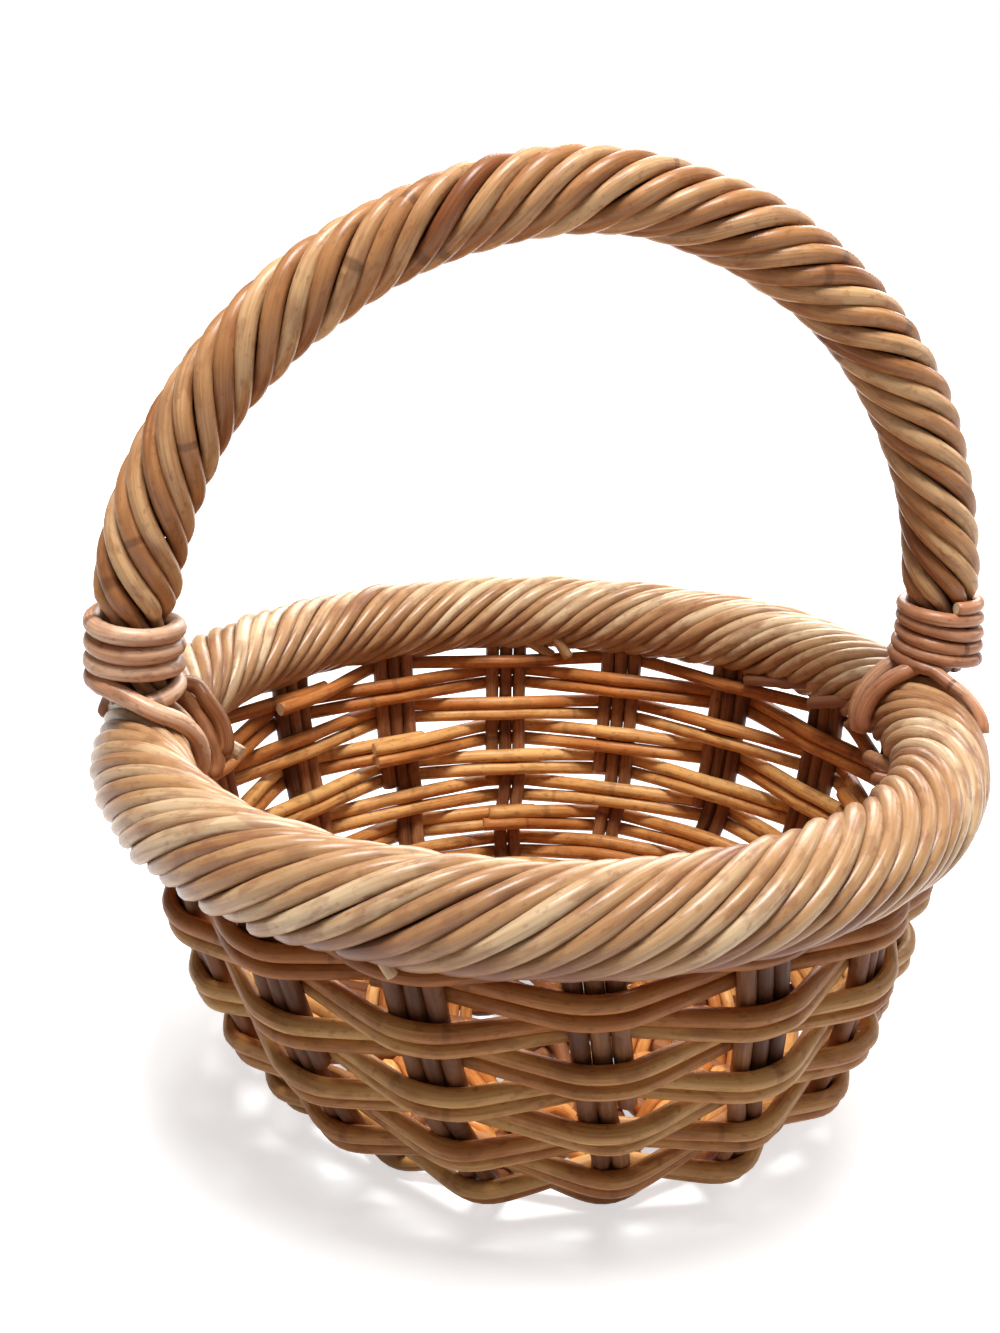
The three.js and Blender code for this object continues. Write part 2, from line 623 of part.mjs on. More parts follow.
const left = Math.PI;
const leftOver = [[left + 0.13, 0.28], [left + 0.15, 0.36], [left + 0.15, 0.44], [left + 0.14, 0.52]];
const rightOver = [[-0.14, 0.2], [-0.18, 0.15], [-0.22, 0.1], [-0.245, 0.05]];
const windings = {
  left: {
    sign: -1, wraps: LEFT_WRAPS, pitch: LEFT_WRAP_PITCH, cane: LEFT_CANE_RADIUS,
    lift: LEFT_WRAP_LIFT, tilt: 0, start: 0.74, over: leftOver,
  },
  right: {
    sign: 1, wraps: RIGHT_WRAPS, pitch: RIGHT_WRAP_PITCH, cane: RIGHT_CANE_RADIUS,
    lift: RIGHT_WRAP_LIFT, tilt: RIGHT_WRAP_TILT, start: 0.75, over: rightOver,
  },
};
for (const [name, shape] of Object.entries(windings)) {
  const made = winding(shape);
  console.log(`${name} winding: least gap to itself ${leastSelfGap(made).toFixed(2)} mm`);
  addPiece(`${name}_foot_winding`, made.geometry, pink);
}

// Tails: ends of handle canes that come out from under a winding and hang down inside the border
function tail(side, sideways, end) {
  const points = [];
  const start = Math.acos(-TAIL_BESIDE / (BORDER_RADIUS + TAIL_RADIUS)) / (2 * Math.PI);
  for (let i = 0; i <= 5; i += 1) {
    const down = THREE.MathUtils.lerp(start, end, i / 5);
    points.push(onBorder(side + sideways * (1 - 0.3 * (i / 5)), down, TAIL_RADIUS - TAIL_PRESS));
  }
  return loft(tube(points, TAIL_RADIUS));
}

addPiece('left_foot_tail_1', tail(Math.PI, 0.05, 0.6), brown);
addPiece('left_foot_tail_2', tail(Math.PI, -0.03, 0.57), brown);
addPiece('right_foot_tail_1', tail(0, -0.06, 0.55), pink);
addPiece('right_foot_tail_2', tail(0, 0.02, 0.57), pink);

// Base: a cross of sticks fanned out between the stakes, held by coils of weave above and below

const crossTurn = groupAngle(0, innerRun) + (((BASE_STICKS - 1) / 2) % 1) * GROUP_ANGLE;

function baseStick(level, number) {
  const lane = (number - (BASE_STICKS - 1) / 2) * LANE_PITCH;
  const spread = (number - (BASE_STICKS - 1) / 2) * GROUP_ANGLE;
  const beside = STAKE_PITCH * 1.5 + CLEARANCE;
  const layer = level * (STAKE_RADIUS + CLEARANCE / 2);
  const end = BASE_EDGE_RADIUS;
  const tip = (sign, radius) => {
    const angle = sign > 0 ? spread : Math.PI - spread;
    return new THREE.Vector3(
      radius * Math.cos(angle) - beside * Math.sin(angle),
      radius * Math.sin(angle) + beside * Math.cos(angle),
      STAKE_LEVEL,
    );
  };
  const inner = BASE_WEAVE_INNER * 0.47;
  const near = BASE_WEAVE_INNER * 0.95;
  const route = [
    tip(-1, end), tip(-1, BASE_WEAVE_INNER * 1.6), tip(-1, near),
    new THREE.Vector3(-inner, lane, STAKE_LEVEL + layer),
    new THREE.Vector3(inner, lane, STAKE_LEVEL + layer),
    tip(1, near), tip(1, BASE_WEAVE_INNER * 1.6), tip(1, end),
  ];
  const shape = outline(6, STICK_RADIUS);
  const turn = new THREE.Matrix4().makeRotationZ(crossTurn + (level > 0 ? Math.PI / 2 : 0));
  return loft(route.map((at, i) => {
    const along = route[Math.min(i + 1, route.length - 1)].clone().sub(route[Math.max(i - 1, 0)]);
    const side = new THREE.Vector3(-along.y, along.x, 0).normalize();
    return shape.map(([x, y]) => settled(
      at.clone().addScaledVector(side, x).add(new THREE.Vector3(0, 0, y)).applyMatrix4(turn),
    ));
  }));
}

for (let number = 0; number < BASE_STICKS; number += 1) {
  addPiece(`base_stick_lower_${number + 1}`, baseStick(-1, number), brown);
  addPiece(`base_stick_upper_${number + 1}`, baseStick(1, number), brown);
}

// Coils of the base weave on one side of the sticks, as a ring with a ridge for each coil
function baseWeave(outer, side, flat) {
  const coils = Math.round((outer - BASE_WEAVE_INNER) / COIL_PITCH);
  const pitch = (outer - BASE_WEAVE_INNER) / coils;
  const near = STAKE_LEVEL + side * (STAKE_FLAT + CLEARANCE);
  const depth = BASE_WEAVE_THICKNESS;
  const profile = [new THREE.Vector2(BASE_WEAVE_INNER, near + side * depth * 0.5)];
  for (let i = 0; i < coils; i += 1) {
    const r = BASE_WEAVE_INNER + pitch * i;
    const full = flat && i < coils - 1 ? depth - FOOT_FLAT * 2 : depth - FOOT_FLAT;
    const last = i === coils - 1;
    profile.push(new THREE.Vector2(r + pitch * (last ? 0.3 : 0.55), near + side * full));
    if (last) profile.push(new THREE.Vector2(r + pitch * 0.75, near + side * full));
    profile.push(new THREE.Vector2(r + pitch, near + side * depth * (last ? 0.4 : 0.6)));
  }
  profile.push(new THREE.Vector2(outer - BASE_WEAVE_ROUND, near));
  profile.push(new THREE.Vector2(BASE_WEAVE_INNER + BASE_WEAVE_ROUND, near));
  const segments = 14;
  const rings = Array.from({ length: segments }, (_, i) =>
    profile.map((p) => around((i / segments) * 2 * Math.PI, p.x, p.y)));
  return loft(rings, true);
}

addPiece('base_weave_lower', baseWeave(BASE_WEAVE_OUTER, -1, true), honey);
addPiece('base_weave_upper', baseWeave(BASE_WEAVE_OUTER - BASE_WEAVE_STEP, 1, false), honey);

export default basket;
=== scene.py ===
"""Looks of the harvest basket: every cane a round one of its own, woven, roped and bound."""

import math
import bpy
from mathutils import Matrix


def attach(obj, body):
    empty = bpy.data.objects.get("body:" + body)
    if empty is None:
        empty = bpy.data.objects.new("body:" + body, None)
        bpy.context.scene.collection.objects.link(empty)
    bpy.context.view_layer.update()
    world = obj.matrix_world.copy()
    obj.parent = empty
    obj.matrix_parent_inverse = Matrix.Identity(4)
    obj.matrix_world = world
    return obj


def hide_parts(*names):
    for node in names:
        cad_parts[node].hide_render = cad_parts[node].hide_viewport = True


bl_info = {
    "name": "Harvest basket",
    "version": (1, 0, 0),
    "blender": (4, 5, 0),
    "location": "View3D > Sidebar > Harvest basket",
    "description": "Builds the canes, finishes and stage of a harvest basket on its packed frame",
    "category": "Object",
}

import bpy
import numpy as np
from mathutils import Matrix, Vector

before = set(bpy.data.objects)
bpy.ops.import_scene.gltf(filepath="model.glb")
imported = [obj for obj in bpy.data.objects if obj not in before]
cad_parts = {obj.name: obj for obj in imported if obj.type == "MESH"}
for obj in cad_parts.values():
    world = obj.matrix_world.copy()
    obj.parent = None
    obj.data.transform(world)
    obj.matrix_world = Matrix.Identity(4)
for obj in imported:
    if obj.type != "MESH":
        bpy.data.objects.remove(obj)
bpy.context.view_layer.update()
TAU = 2 * math.pi

# Small fixed sizes, in metres
WALL_STEP = 0.0025  # either side of a place where the wall's slope is taken
PROFILE_SPARE = 0.02  # how far the wall's profile goes on past the stakes' inner ends
UNDER_BORDER = 0.006  # from the border's middle down to the top of the stakes
TOUCH = 0.0002  # air between canes that lie on each other
AIR = 0.0004  # air between canes that pass each other

BESIDE_STAKES = 0.004  # from the middle of a group's last stake to where a weaver starts to cross
TIPS_PAST = (0.004, 0.012)  # how far a weaver's two ends stand past the stakes that hold them
WEAVER_STRAY = 0.0006  # how far a weaver strays up or down at each group
ROD_TIP, ROD_SWELL = 0.0034, 0.0036  # radius of the bow rod's ends, and what its arch adds

# Canes: shares of a cane's radius, and waves of its thickness in radians a metre
TIP_BLUNT = 0.08
CUT_BEVEL = 0.12
CUT_FACE = 0.84
SLOW_WAVE, QUICK_WAVE = 95, 221
NEVER_ALONG = (0.31, 0.17, 0.93)  # a direction that no cane starts in
OUTSIDE_PAINTED_SHADE = 0.62  # how dark the painted shade makes the face that looks out of the basket

# Grain of a cane: scale, detail and stretch along the cane
STREAKS = (900, 3, 0.03)
FIBRES = (2600, 2, 0.02)
DRIFT = (26, 3, 0.55)
PATCHES = (70, 4, 0.4)
SPECKS = (420, 3, 0.6)
MOTTLE = (190, 5, 0.45)
# Brown of the node rings and of the painted shade, and brown of the pores of a cut end
RING_AND_SHADE_BROWN = (0.035, 0.014, 0.008, 1.0)
PORE_BROWN = (0.30, 0.17, 0.08, 1.0)

# Finish of each kind of cane: blotches, node rings, painted shade between the canes and on their
# outer faces, and gloss
FINISHES = {
    "stake": (0.5, 0.4, 0.8, 0.12),
    "weaver": (0.5, 0.3, 0.8, 0.12),
    "border": (0.7, 0.25, 0.97, 0.42),
    "handle": (0.5, 0.5, 0.95, 0.3),
    "winding": (0.45, 0.6, 0.9, 0.3),
}
HANDLE_TONES = (0.25, 0.52, 0.18, 0.72, 0.32, 0.48, 0.22, 0.62)

# Strands of the border, in turns round the rope and in radians round the rim
STRAND_START, STRAND_END, STRAND_TUCKED = -0.36, 0.80, 0.86
FOLDS_SHOW = (3.4, 4.35)

# Cane ends that show at the border: radius, tone, and the turn, lap and lift of each end
CUT_ENDS = (
    (0.0028, 0.55, (1.50, 0.58, -0.007), (1.37, 0.69, 0.0005)),
    (0.0029, 0.45, (1.37, 0.57, -0.007), (1.31, 0.65, 0.002)),
    (0.0030, 1.30, (0.34, 0.56, -0.008), (0.65, 0.64, -0.001)),
    (0.0030, 1.10, (0.15, 0.53, -0.008), (0.31, 0.58, 0.002)),
    (0.0025, 1.10, (0.04, 0.52, -0.006), (0.07, 0.57, 0.003)),
    (0.0033, 0.70, (-0.28, 0.60, -0.007), (-0.10, 0.60, 0.003)),
    (0.0030, 1.20, (-0.45, 0.55, -0.007), (-0.36, 0.56, 0.003)),
    (0.0034, 0.05, (3.02, 0.53, 0.004), (3.07, 0.54, 0.0165)),
    (0.0022, 0.30, (-2.03, -0.15, -0.007), (-2.0, -0.18, -0.0002)),
)

# Windings, and the ways of canes from a foot of the handle over the border:
# the turn from the foot, the lap round the border's rope and the lift off it
LEFT_WINDING = {"wraps": 3.45, "pitch": 0.0078, "lift": 0.0072, "tilt": 0.0, "start": 0.74}
RIGHT_WINDING = {
    "wraps": 5.0,
    "pitch": 0.006,
    "lift": 0.00025,
    "tilt": 0.1,
    "start": 0.75,
    "flare": 0.002,
}
LEFT_LED = ((0.135, 0.29), (0.14, 0.36), (0.12, 0.43), (0.10, 0.50), (0.08, 0.57))
LEFT_BESIDE = ((0, 0.314, 0.0006), (0.035, 0.41, 0), (0.045, 0.485, 0.0008), (0.09, 0.56, 0.001))
LEFT_DARK = (
    (-0.03, 0.29, 0),
    (-0.05, 0.343, 0),
    (-0.05, 0.421, 0.0008),
    (0, 0.495, 0.0046),
    (0.03, 0.538, 0.0078),
    (0.05, 0.575, 0.0076),
)
LEFT_THIN = (
    (-0.03, 0.30, 0),
    (-0.05, 0.355, 0.0028),
    (-0.05, 0.415, 0.0029),
    (-0.03, 0.488, 0.0053),
    (0.02, 0.52, 0.0087),
)
LEFT_THICK = (
    (-0.05, 0.30, 0.002),
    (-0.08, 0.37, 0.006),
    (-0.05, 0.414, 0.007),
    (-0.03, 0.465, 0.0088),
    (0, 0.506, 0.0099),
    (0.02, 0.53, 0.0084),
)
LEFT_OUTSIDE = (
    (-0.06, 0.22, -0.001),
    (-0.11, 0.14, -0.0015),
    (-0.13, 0.09, -0.002),
    (-0.13, 0.03, -0.002),
)
RIGHT_LED = (
    (-0.14, 0.2),
    (-0.175, 0.155, -0.0004),
    (-0.205, 0.11, -0.001),
    (-0.225, 0.075, -0.0018),
    (-0.235, 0.05, -0.0028),
)
RIGHT_INNER = (
    (-0.045, 0.24, 0.002),
    (-0.06, 0.30, 0.0005),
    (-0.056, 0.36),
    (-0.050, 0.43),
    (-0.046, 0.50),
    (-0.042, 0.55),
)
RIGHT_BESIDE = (
    (0.02, 0.24, 0.002),
    (0.02, 0.30, 0.0005),
    (0.018, 0.36),
    (0.017, 0.43),
    (0.015, 0.50),
    (0.014, 0.57),
)

# Base: the cross of sticks
STICKS = 4
CROSS_RADIUS = 0.037
CROSS_LANE = 0.009
CROSS_SWING = 0.315  # turns the middle of the cross, so that its sticks run straight
BASE_WEAVE_EDGE = 0.102

# The photo's camera, whose distances are in shares of a unit near the rim's radius
CAMERA_UNIT = 0.165
CAMERA_MIDDLE = (-0.00275, 0, 0.159)
CAMERA_AWAY, CAMERA_LIFT, CAMERA_TURN = 3.551, 0.401, 0.1831
CAMERA_PITCH, CAMERA_YAW, CAMERA_ROLL = 0.3567, -0.0343, 0.0325
FOCAL_PIXELS, PHOTO_HEIGHT = 1353.9, 1333
SENSOR = 36

# Lamps: place, power and size. The world's level for light, and what the camera adds to it
LAMPS = {
    "key": ((-0.05, -0.27, 1.8), 45, 0.6),
    "side": ((1.7, 0.4, 0.95), 8, 0.8),
    "back": ((0.7, 1.5, 1.15), 42, 1.3),
}
LAMP_TARGET = (0, 0, 0.15)
WORLD_LIGHT, WORLD_SEEN = 0.22, 0.78

# Floor: the glow that is seen beside the basket, what is added far off, and where it starts
# and ends. Its half width, and how far it lies under the basket
FLOOR_NEAR, FLOOR_FAR, FLOOR_FADE = 0.6, 0.35, (0.5, 2.2)
FLOOR_HALF, FLOOR_UNDER = 30.0, 0.0002


# Sizes and colours that a user would change


def length(name, description, default):
    return bpy.props.FloatProperty(
        name=name, description=description, default=default, unit="LENGTH", precision=5
    )


def ratio(name, description, default):
    return bpy.props.FloatProperty(
        name=name, description=description, default=default, precision=4
    )


def angle(name, description, default):
    return bpy.props.FloatProperty(
        name=name, description=description, default=default, subtype="ANGLE"
    )


def count(name, description, default):
    return bpy.props.IntProperty(name=name, description=description, default=default, min=1)


def tint(name, description, default):
    return bpy.props.FloatVectorProperty(
        name=name,
        description=description,
        default=default,
        subtype="COLOR",
        size=3,
        min=0.0,
        max=1.0,
    )


class BasketShape(bpy.types.PropertyGroup):
    """Overall form of the wall, the rim and the base."""

    rim_radius: length("Rim radius", "Middle of the border rope, seen from above", 0.167)
    rim_height: length("Rim height", "Middle of the border rope above the ground", 0.1595)
    rim_oval: ratio("Rim oval", "Width across the handle as a share of that along it", 0.947)
    rim_shift: length("Rim shift", "Middle of the rim beside the middle of the basket", -0.003)
    rim_tilt: ratio("Rim tilt", "Slope of the rim, up to its right end", 0.02)
    wall_radius: length("Wall radius", "Stakes just under the border", 0.1605)
    wall_turn: ratio("Wall turn", "How sharply the wall turns in, where 2 is round", 2.2)
    wall_belly: ratio("Wall belly", "How far down the wall stays upright", 1.5)
    base_radius: length("Base radius", "Where the turned stakes reach the base", 0.1045)
    base_shift_x: length("Base shift X", "Lean of the base along the handle", 0.012)
    base_shift_y: length("Base shift Y", "Lean of the base across the handle", -0.0025)
    stake_level: length("Stake level", "Middle of the stakes under the base", 0.00978)
    stake_end: length("Stake end", "Inner end of the stakes in the base", 0.066)
    first_row_drop: length("First row drop", "First row under the border's middle", 0.0203)
    row_pitch: length("Row pitch", "From one row to the next along the wall", 0.01532)
    pair_pitch: length("Pair pitch", "Between the two weavers of a row", 0.00707)
    groups: count("Stake groups", "Groups of stakes round the wall", 16)
    rows: count("Rows", "Rows of weave up the wall", 9)
    stake_lean: angle("Stake lean", "How far a stake leans round the basket", math.radians(4))
    bye_rows: ratio("Bye-stake rows", "Depth of the short third stake, in rows", 4.5)


class BasketCanes(bpy.types.PropertyGroup):
    """Thickness and lay of the canes."""

    stake: length("Stake cane", "Radius of a stake", 0.0036)
    stake_pitch: length("Stake pitch", "Between stakes that lie side by side", 0.0074)
    weaver: length("Weaver cane", "Radius of a weaver", 0.0035)
    border_radius: length("Border radius", "Border rope over its strands", 0.02)
    border_cane: length("Border cane", "Radius of a folded stake end in the border", 0.0037)
    border_ends: count("Border ends", "Folded stake ends in the border", 90)
    border_turns: ratio("Border turns", "Times an end would wind round in one lap", 7.0)
    handle_half: length("Handle half width", "Middle of the handle at the rim", 0.1737)
    handle_rise: length("Handle rise", "Top of the handle over the border", 0.2199)
    handle_upright: ratio("Handle upright", "How long its legs stay upright", 2.62)
    handle_crown: ratio("Handle crown", "How flat its top is", 1.78)
    handle_centre: length("Handle centre", "Middle of its feet beside the rim's", 0.0027)
    handle_sway: length("Handle sway", "Lean of the bow at its top", 0.0095)
    left_tuck: length("Left leg tuck", "How far the left leg is drawn in", 0.004)
    handle_radius: length("Handle radius", "Handle rope over its strands", 0.0163)
    handle_cane: length("Handle cane", "Radius of a cane of the handle", 0.0039)
    handle_strands: count("Handle canes", "Canes twisted round the bow", 8)
    handle_turns: ratio("Handle turns", "Turns of a cane between the feet", 5.75)
    foot_radius: length("Foot radius", "Handle rope under its windings", 0.0125)
    left_cane: length("Left winding cane", "Radius of the left winding's cane", 0.0038)
    right_cane: length("Right winding cane", "Radius of the right winding's cane", 0.0029)
    tail_cane: length("Tail cane", "Radius of the cane ends tucked in at the right foot", 0.0035)
    base_cane: length("Base weaver", "Radius of a weaver of the base", 0.0031)


class BasketColours(bpy.types.PropertyGroup):
    """Finish of the canes: a pale, a middle and a dark tone for each kind."""

    border_pale: tint("Border pale", "Palest straw of the border", (0.61, 0.44, 0.265))
    border_mid: tint("Border", "Straw of the border", (0.425, 0.228, 0.100))
    border_dark: tint("Border dark", "Pinkish brown of the border", (0.225, 0.085, 0.040))
    handle_pale: tint("Handle pale", "Palest tan of the handle", (0.61, 0.375, 0.187))
    handle_mid: tint("Handle", "Ochre tan of the handle", (0.41, 0.187, 0.071))
    handle_dark: tint("Handle dark", "Red brown canes of the handle", (0.19, 0.056, 0.019))
    weaver_pale: tint("Weaver pale", "Palest honey of the weave", (0.80, 0.44, 0.15))
    weaver_mid: tint("Weaver", "Honey of the weave", (0.54, 0.193, 0.046))
    weaver_dark: tint("Weaver dark", "Brown of the weave", (0.18, 0.043, 0.011))
    stake_pale: tint("Stake pale", "Palest brown of the stakes", (0.46, 0.20, 0.085))
    stake_mid: tint("Stake", "Brown of the stakes", (0.26, 0.095, 0.036))
    stake_dark: tint("Stake dark", "Darkest brown of the stakes", (0.075, 0.023, 0.010))
    winding_pale: tint("Winding pale", "Palest pink brown of the windings", (0.72, 0.47, 0.31))
    winding_mid: tint("Winding", "Pink brown of the windings", (0.48, 0.215, 0.107))
    winding_dark: tint("Winding dark", "Dark brown of the windings", (0.17, 0.05, 0.022))
    pith: tint("Pith", "Cut end of a cane", (0.72, 0.56, 0.38))
    floor: tint("Floor", "Pale floor", (0.72, 0.72, 0.72))


def shape():
    return bpy.context.scene.basket_shape


def canes():
    return bpy.context.scene.basket_canes


def colours():
    return bpy.context.scene.basket_colours


# Form of the basket, worked out from the sizes


def settled(points):
    """Takes points of the round, upright basket to the slightly oval and leaning one."""
    s = shape()
    lean = np.maximum(1 - points[..., 2] / (s.rim_height - canes().border_radius), 0)
    moved = points.copy()
    moved[..., 0] += s.rim_shift + s.base_shift_x * lean
    moved[..., 1] = points[..., 1] * s.rim_oval + s.base_shift_y * lean
    moved[..., 2] += s.rim_tilt * points[..., 0] * (1 - lean)
    return moved


def around(turn, r, z, sideways=0.0):
    """Points at the given angles round the basket, with a step to the side."""
    turn, r, z, sideways = np.broadcast_arrays(turn, r, z, sideways)
    c, s = np.cos(turn), np.sin(turn)
    return settled(np.stack([r * c - sideways * s, r * s + sideways * c, z], -1))


def wall_table():
    """The wall's profile from the rim down: run past the first row, radius and height."""
    s = shape()
    depth_all = s.rim_height - s.first_row_drop - s.stake_level
    top = s.rim_height - s.first_row_drop
    depth = depth_all * np.sin(np.linspace(0, math.pi / 2, 600)) ** 0.5
    share = np.clip(depth / depth_all, 0, 1)
    inward = (1 - share**s.wall_belly) ** (1 / s.wall_turn)
    r = s.base_radius + (s.wall_radius - s.base_radius) * inward
    z = top - depth
    r = np.concatenate([[s.wall_radius], r, [s.stake_end - PROFILE_SPARE]])
    z = np.concatenate([[s.rim_height], z, [s.stake_level]])
    run = np.concatenate([[0], np.cumsum(np.hypot(np.diff(r), np.diff(z)))])
    return run - s.first_row_drop, r, z


def wall_at(run):
    """Radius and height of the wall at these runs, with its outward direction."""
    table, r, z = wall_table()
    near, far = np.asarray(run) - WALL_STEP, np.asarray(run) + WALL_STEP
    up_r = np.interp(near, table, r) - np.interp(far, table, r)
    up_z = np.interp(near, table, z) - np.interp(far, table, z)
    size = np.maximum(np.hypot(up_r, up_z), 1e-9)
    radius = (np.interp(near, table, r) + np.interp(far, table, r)) / 2
    height = (np.interp(near, table, z) + np.interp(far, table, z)) / 2
    return radius, height, up_z / size, -up_r / size


def group_turn(group, run):
    """Angle round the basket of a stake group at a run down the wall."""
    s = shape()
    first = -math.asin(canes().stake_pitch / s.wall_radius)
    lean = s.stake_lean * np.maximum(run, 0) / (s.rows * s.row_pitch)
    return first + group * TAU / s.groups + lean


def eased(share):
    """A share from 0 to 1 that starts and ends gently."""
    share = np.clip(share, 0, 1)
    return share * share * (3 - 2 * share)


def pair_shift(run):
    """Side step of a pair of stakes, which moves to the middle where the third one ends."""
    s = shape()
    over = np.asarray(run) - s.bye_rows * s.row_pitch
    return -canes().stake_pitch / 2 * (1 - eased(over / (2 * s.row_pitch)))


def on_border(turn, lap, radius, lift=0.0):
    """A cane's middle where it lies on the border: lap 0 is outside and a quarter is on top."""
    s, c = shape(), canes()
    reach = c.border_radius + radius + lift
    return around(
        turn, s.rim_radius + reach * np.cos(lap * TAU), s.rim_height + reach * np.sin(lap * TAU)
    )


def laid(stations, radius, foot=0.0):
    """Points of a cane on the border, from the turn, the lap and the lift of each."""
    return np.array([on_border(foot + turn, lap, radius, *lift) for turn, lap, *lift in stations])


# Lines that canes follow


def distances(path):
    """How far along a path each of its points is."""
    return np.concatenate([[0], np.cumsum(np.linalg.norm(np.diff(path, axis=0), axis=1))])


def spread(path, stations):
    """That many even points along a path, and how far along it they are."""
    run = distances(path)
    even = np.linspace(0, run[-1], stations)
    return np.stack([np.interp(even, run, path[:, k]) for k in range(3)], -1), even


def smooth_path(points, step):
    """Even points on a smooth curve through the given ones."""
    p = np.asarray(points, float)
    q = np.concatenate([2 * p[:1] - p[1:2], p, 2 * p[-1:] - p[-2:-1]])
    t = np.linspace(0, 1, 12, endpoint=False)[:, None]
    parts = []
    for a, b, c, d in zip(q[:-3], q[1:-2], q[2:-1], q[3:]):
        curve = 2 * b + (c - a) * t + (2 * a - 5 * b + 4 * c - d) * t**2
        parts.append((curve + (3 * b - a - 3 * c + d) * t**3) / 2)
    dense = np.concatenate(parts + [p[-1:]])
    steps = max(int(round(distances(dense)[-1] / step)), 2)
    return spread(dense, steps + 1)[0]


def softened(path, times):
    """A path with its bends eased and its ends kept."""
    path = path.copy()
    for _ in range(times):
        path[1:-1] = path[:-2] * 0.25 + path[1:-1] * 0.5 + path[2:] * 0.25
    return path


def rounded(path, radius, ends=(True, True)):
    """A cane's radius along a path, with the ends that are asked for rounded off."""
    run = distances(path)
    size = np.full(len(path), float(radius))
    for wanted, away in ((ends[0], run), (ends[1], run[-1] - run)):
        if wanted:
            size *= np.sqrt(1 - (1 - np.clip(away / radius + TIP_BLUNT, 0, 1)) ** 2)
    return size


def directions(path):
    """A path's direction at each point, and two across it that don't twist."""
    along = np.gradient(path, axis=0)
    along /= np.maximum(np.linalg.norm(along, axis=1)[:, None], 1e-12)
    out = np.zeros_like(path)
    first = np.cross(along[0], NEVER_ALONG)
    out[0] = first / np.linalg.norm(first)
    for i in range(1, len(path)):
        kept = out[i - 1] - along[i] * (out[i - 1] @ along[i])
        out[i] = kept / np.linalg.norm(kept)
    return along, out, np.cross(along, out)


def turned(points, turn):
    """Points turned round the upright axis."""
    c, s = math.cos(turn), math.sin(turn)
    x, y, z = np.moveaxis(np.asarray(points, float), -1, 0)
    return np.stack([x * c - y * s, x * s + y * c, z], -1)


# Canes as meshes


class Canes:
    """Collects round canes as one mesh, with the coordinates that the finish reads."""

    def __init__(self, seed):
        self.random = np.random.default_rng(seed)
        self.points, self.faces, self.end_faces = [], [], []
        self.straight, self.tone, self.shade, self.knots = [], [], [], []
        self.total = 0

    def add(
        self,
        path,
        radius,
        tone=0.5,
        sides=10,
        shade=None,
        knot=0.15,
        uneven=0.03,
        cuts=(True, True),
    ):
        """One cane along a path. Its radius and tone may vary along it.

        shade gives the painted shade of its points, knot is the usual distance between its node
        rings, uneven is how much its thickness wanders, and cuts says which ends show their pith.
        """
        path = np.asarray(path, float)
        n = len(path)
        run = distances(path)
        along, out, side = directions(path)
        phase = self.random.uniform(0, TAU, 3)
        wave = np.sin(run * SLOW_WAVE + phase[0]) + 0.6 * np.sin(run * QUICK_WAVE + phase[1])
        size = radius * (1 + uneven * wave / 1.6) * np.ones(n)
        offset = self.random.uniform(0, 40)
        marks = self.random.uniform(0.6, 1.4, int(run[-1] / knot * 1.7) + 8)
        marks = np.cumsum(marks) * knot - self.random.uniform(2, 3) * knot
        phases = np.interp(run, marks, np.arange(len(marks)))

        keep = [0] * cuts[0] + list(range(n)) + [n - 1] * cuts[1]
        centre, thick = path[keep], size[keep]
        if cuts[0]:
            centre[0] -= along[0] * (CUT_BEVEL * size[0])
            thick[0] *= CUT_FACE
        if cuts[1]:
            centre[-1] += along[-1] * (CUT_BEVEL * size[-1])
            thick[-1] *= CUT_FACE

        turn = np.arange(sides) * TAU / sides
        ring_out = out[keep][:, None, :] * np.cos(turn)[None, :, None]
        ring_side = side[keep][:, None, :] * np.sin(turn)[None, :, None]
        solid = centre[:, None, :] + thick[:, None, None] * (ring_out + ring_side)
        across = thick[:, None] * np.cos(turn), thick[:, None] * np.sin(turn)
        straight = np.stack([*across, np.repeat((run[keep] + offset)[:, None], sides, 1)], -1)
        dark = np.zeros(solid.shape[:2]) if shade is None else shade(solid)
        self.points.append(solid.reshape(-1, 3))
        self.straight.append(straight.reshape(-1, 3))
        self.shade.append(dark.reshape(-1))
        self.knots.append(np.repeat(phases[keep], sides))
        self.tone.append(np.repeat(np.broadcast_to(tone, n)[keep], sides))

        index = self.total + np.arange(len(keep) * sides).reshape(-1, sides)
        after = np.roll(index, -1, axis=1)
        quads = np.stack([index[:-1], after[:-1], after[1:], index[1:]], -1)
        self.faces.append(quads.reshape(-1, 4))
        self.end_faces.append((index[0][::-1].tolist(), cuts[0]))
        self.end_faces.append((index[-1].tolist(), cuts[1]))
        self.total += len(keep) * sides

    def build(self, name, finish, replaces, slot):
        """Makes the piece, which rides on the basket in place of its CAD nodes."""
        quads = np.concatenate(self.faces)
        mesh = bpy.data.meshes.new(name)
        ends = [face for face, _ in self.end_faces]
        mesh.from_pydata(np.concatenate(self.points).tolist(), [], quads.tolist() + ends)
        mesh.materials.append(finish)
        mesh.materials.append(pith_finish())
        kinds = np.zeros(len(mesh.polygons), np.int32)
        kinds[len(quads):] = [1 if cut else 0 for _, cut in self.end_faces]
        mesh.polygons.foreach_set("material_index", kinds)
        soft = np.ones(len(mesh.polygons), bool)
        soft[len(quads):] = False
        mesh.polygons.foreach_set("use_smooth", soft)
        layer = mesh.attributes.new("straight", "FLOAT_VECTOR", "POINT")
        straight = np.concatenate(self.straight).astype(np.float32)
        layer.data.foreach_set("vector", straight.ravel())
        for label, values in (("tone", self.tone), ("shade", self.shade), ("knots", self.knots)):
            layer = mesh.attributes.new(label, "FLOAT", "POINT")
            layer.data.foreach_set("value", np.concatenate(values).astype(np.float32))
        mesh.update()
        piece = bpy.data.objects.new(name, mesh)
        bpy.context.scene.collection.objects.link(piece)
        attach(piece, "root")
        if replaces:
            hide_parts(*replaces)


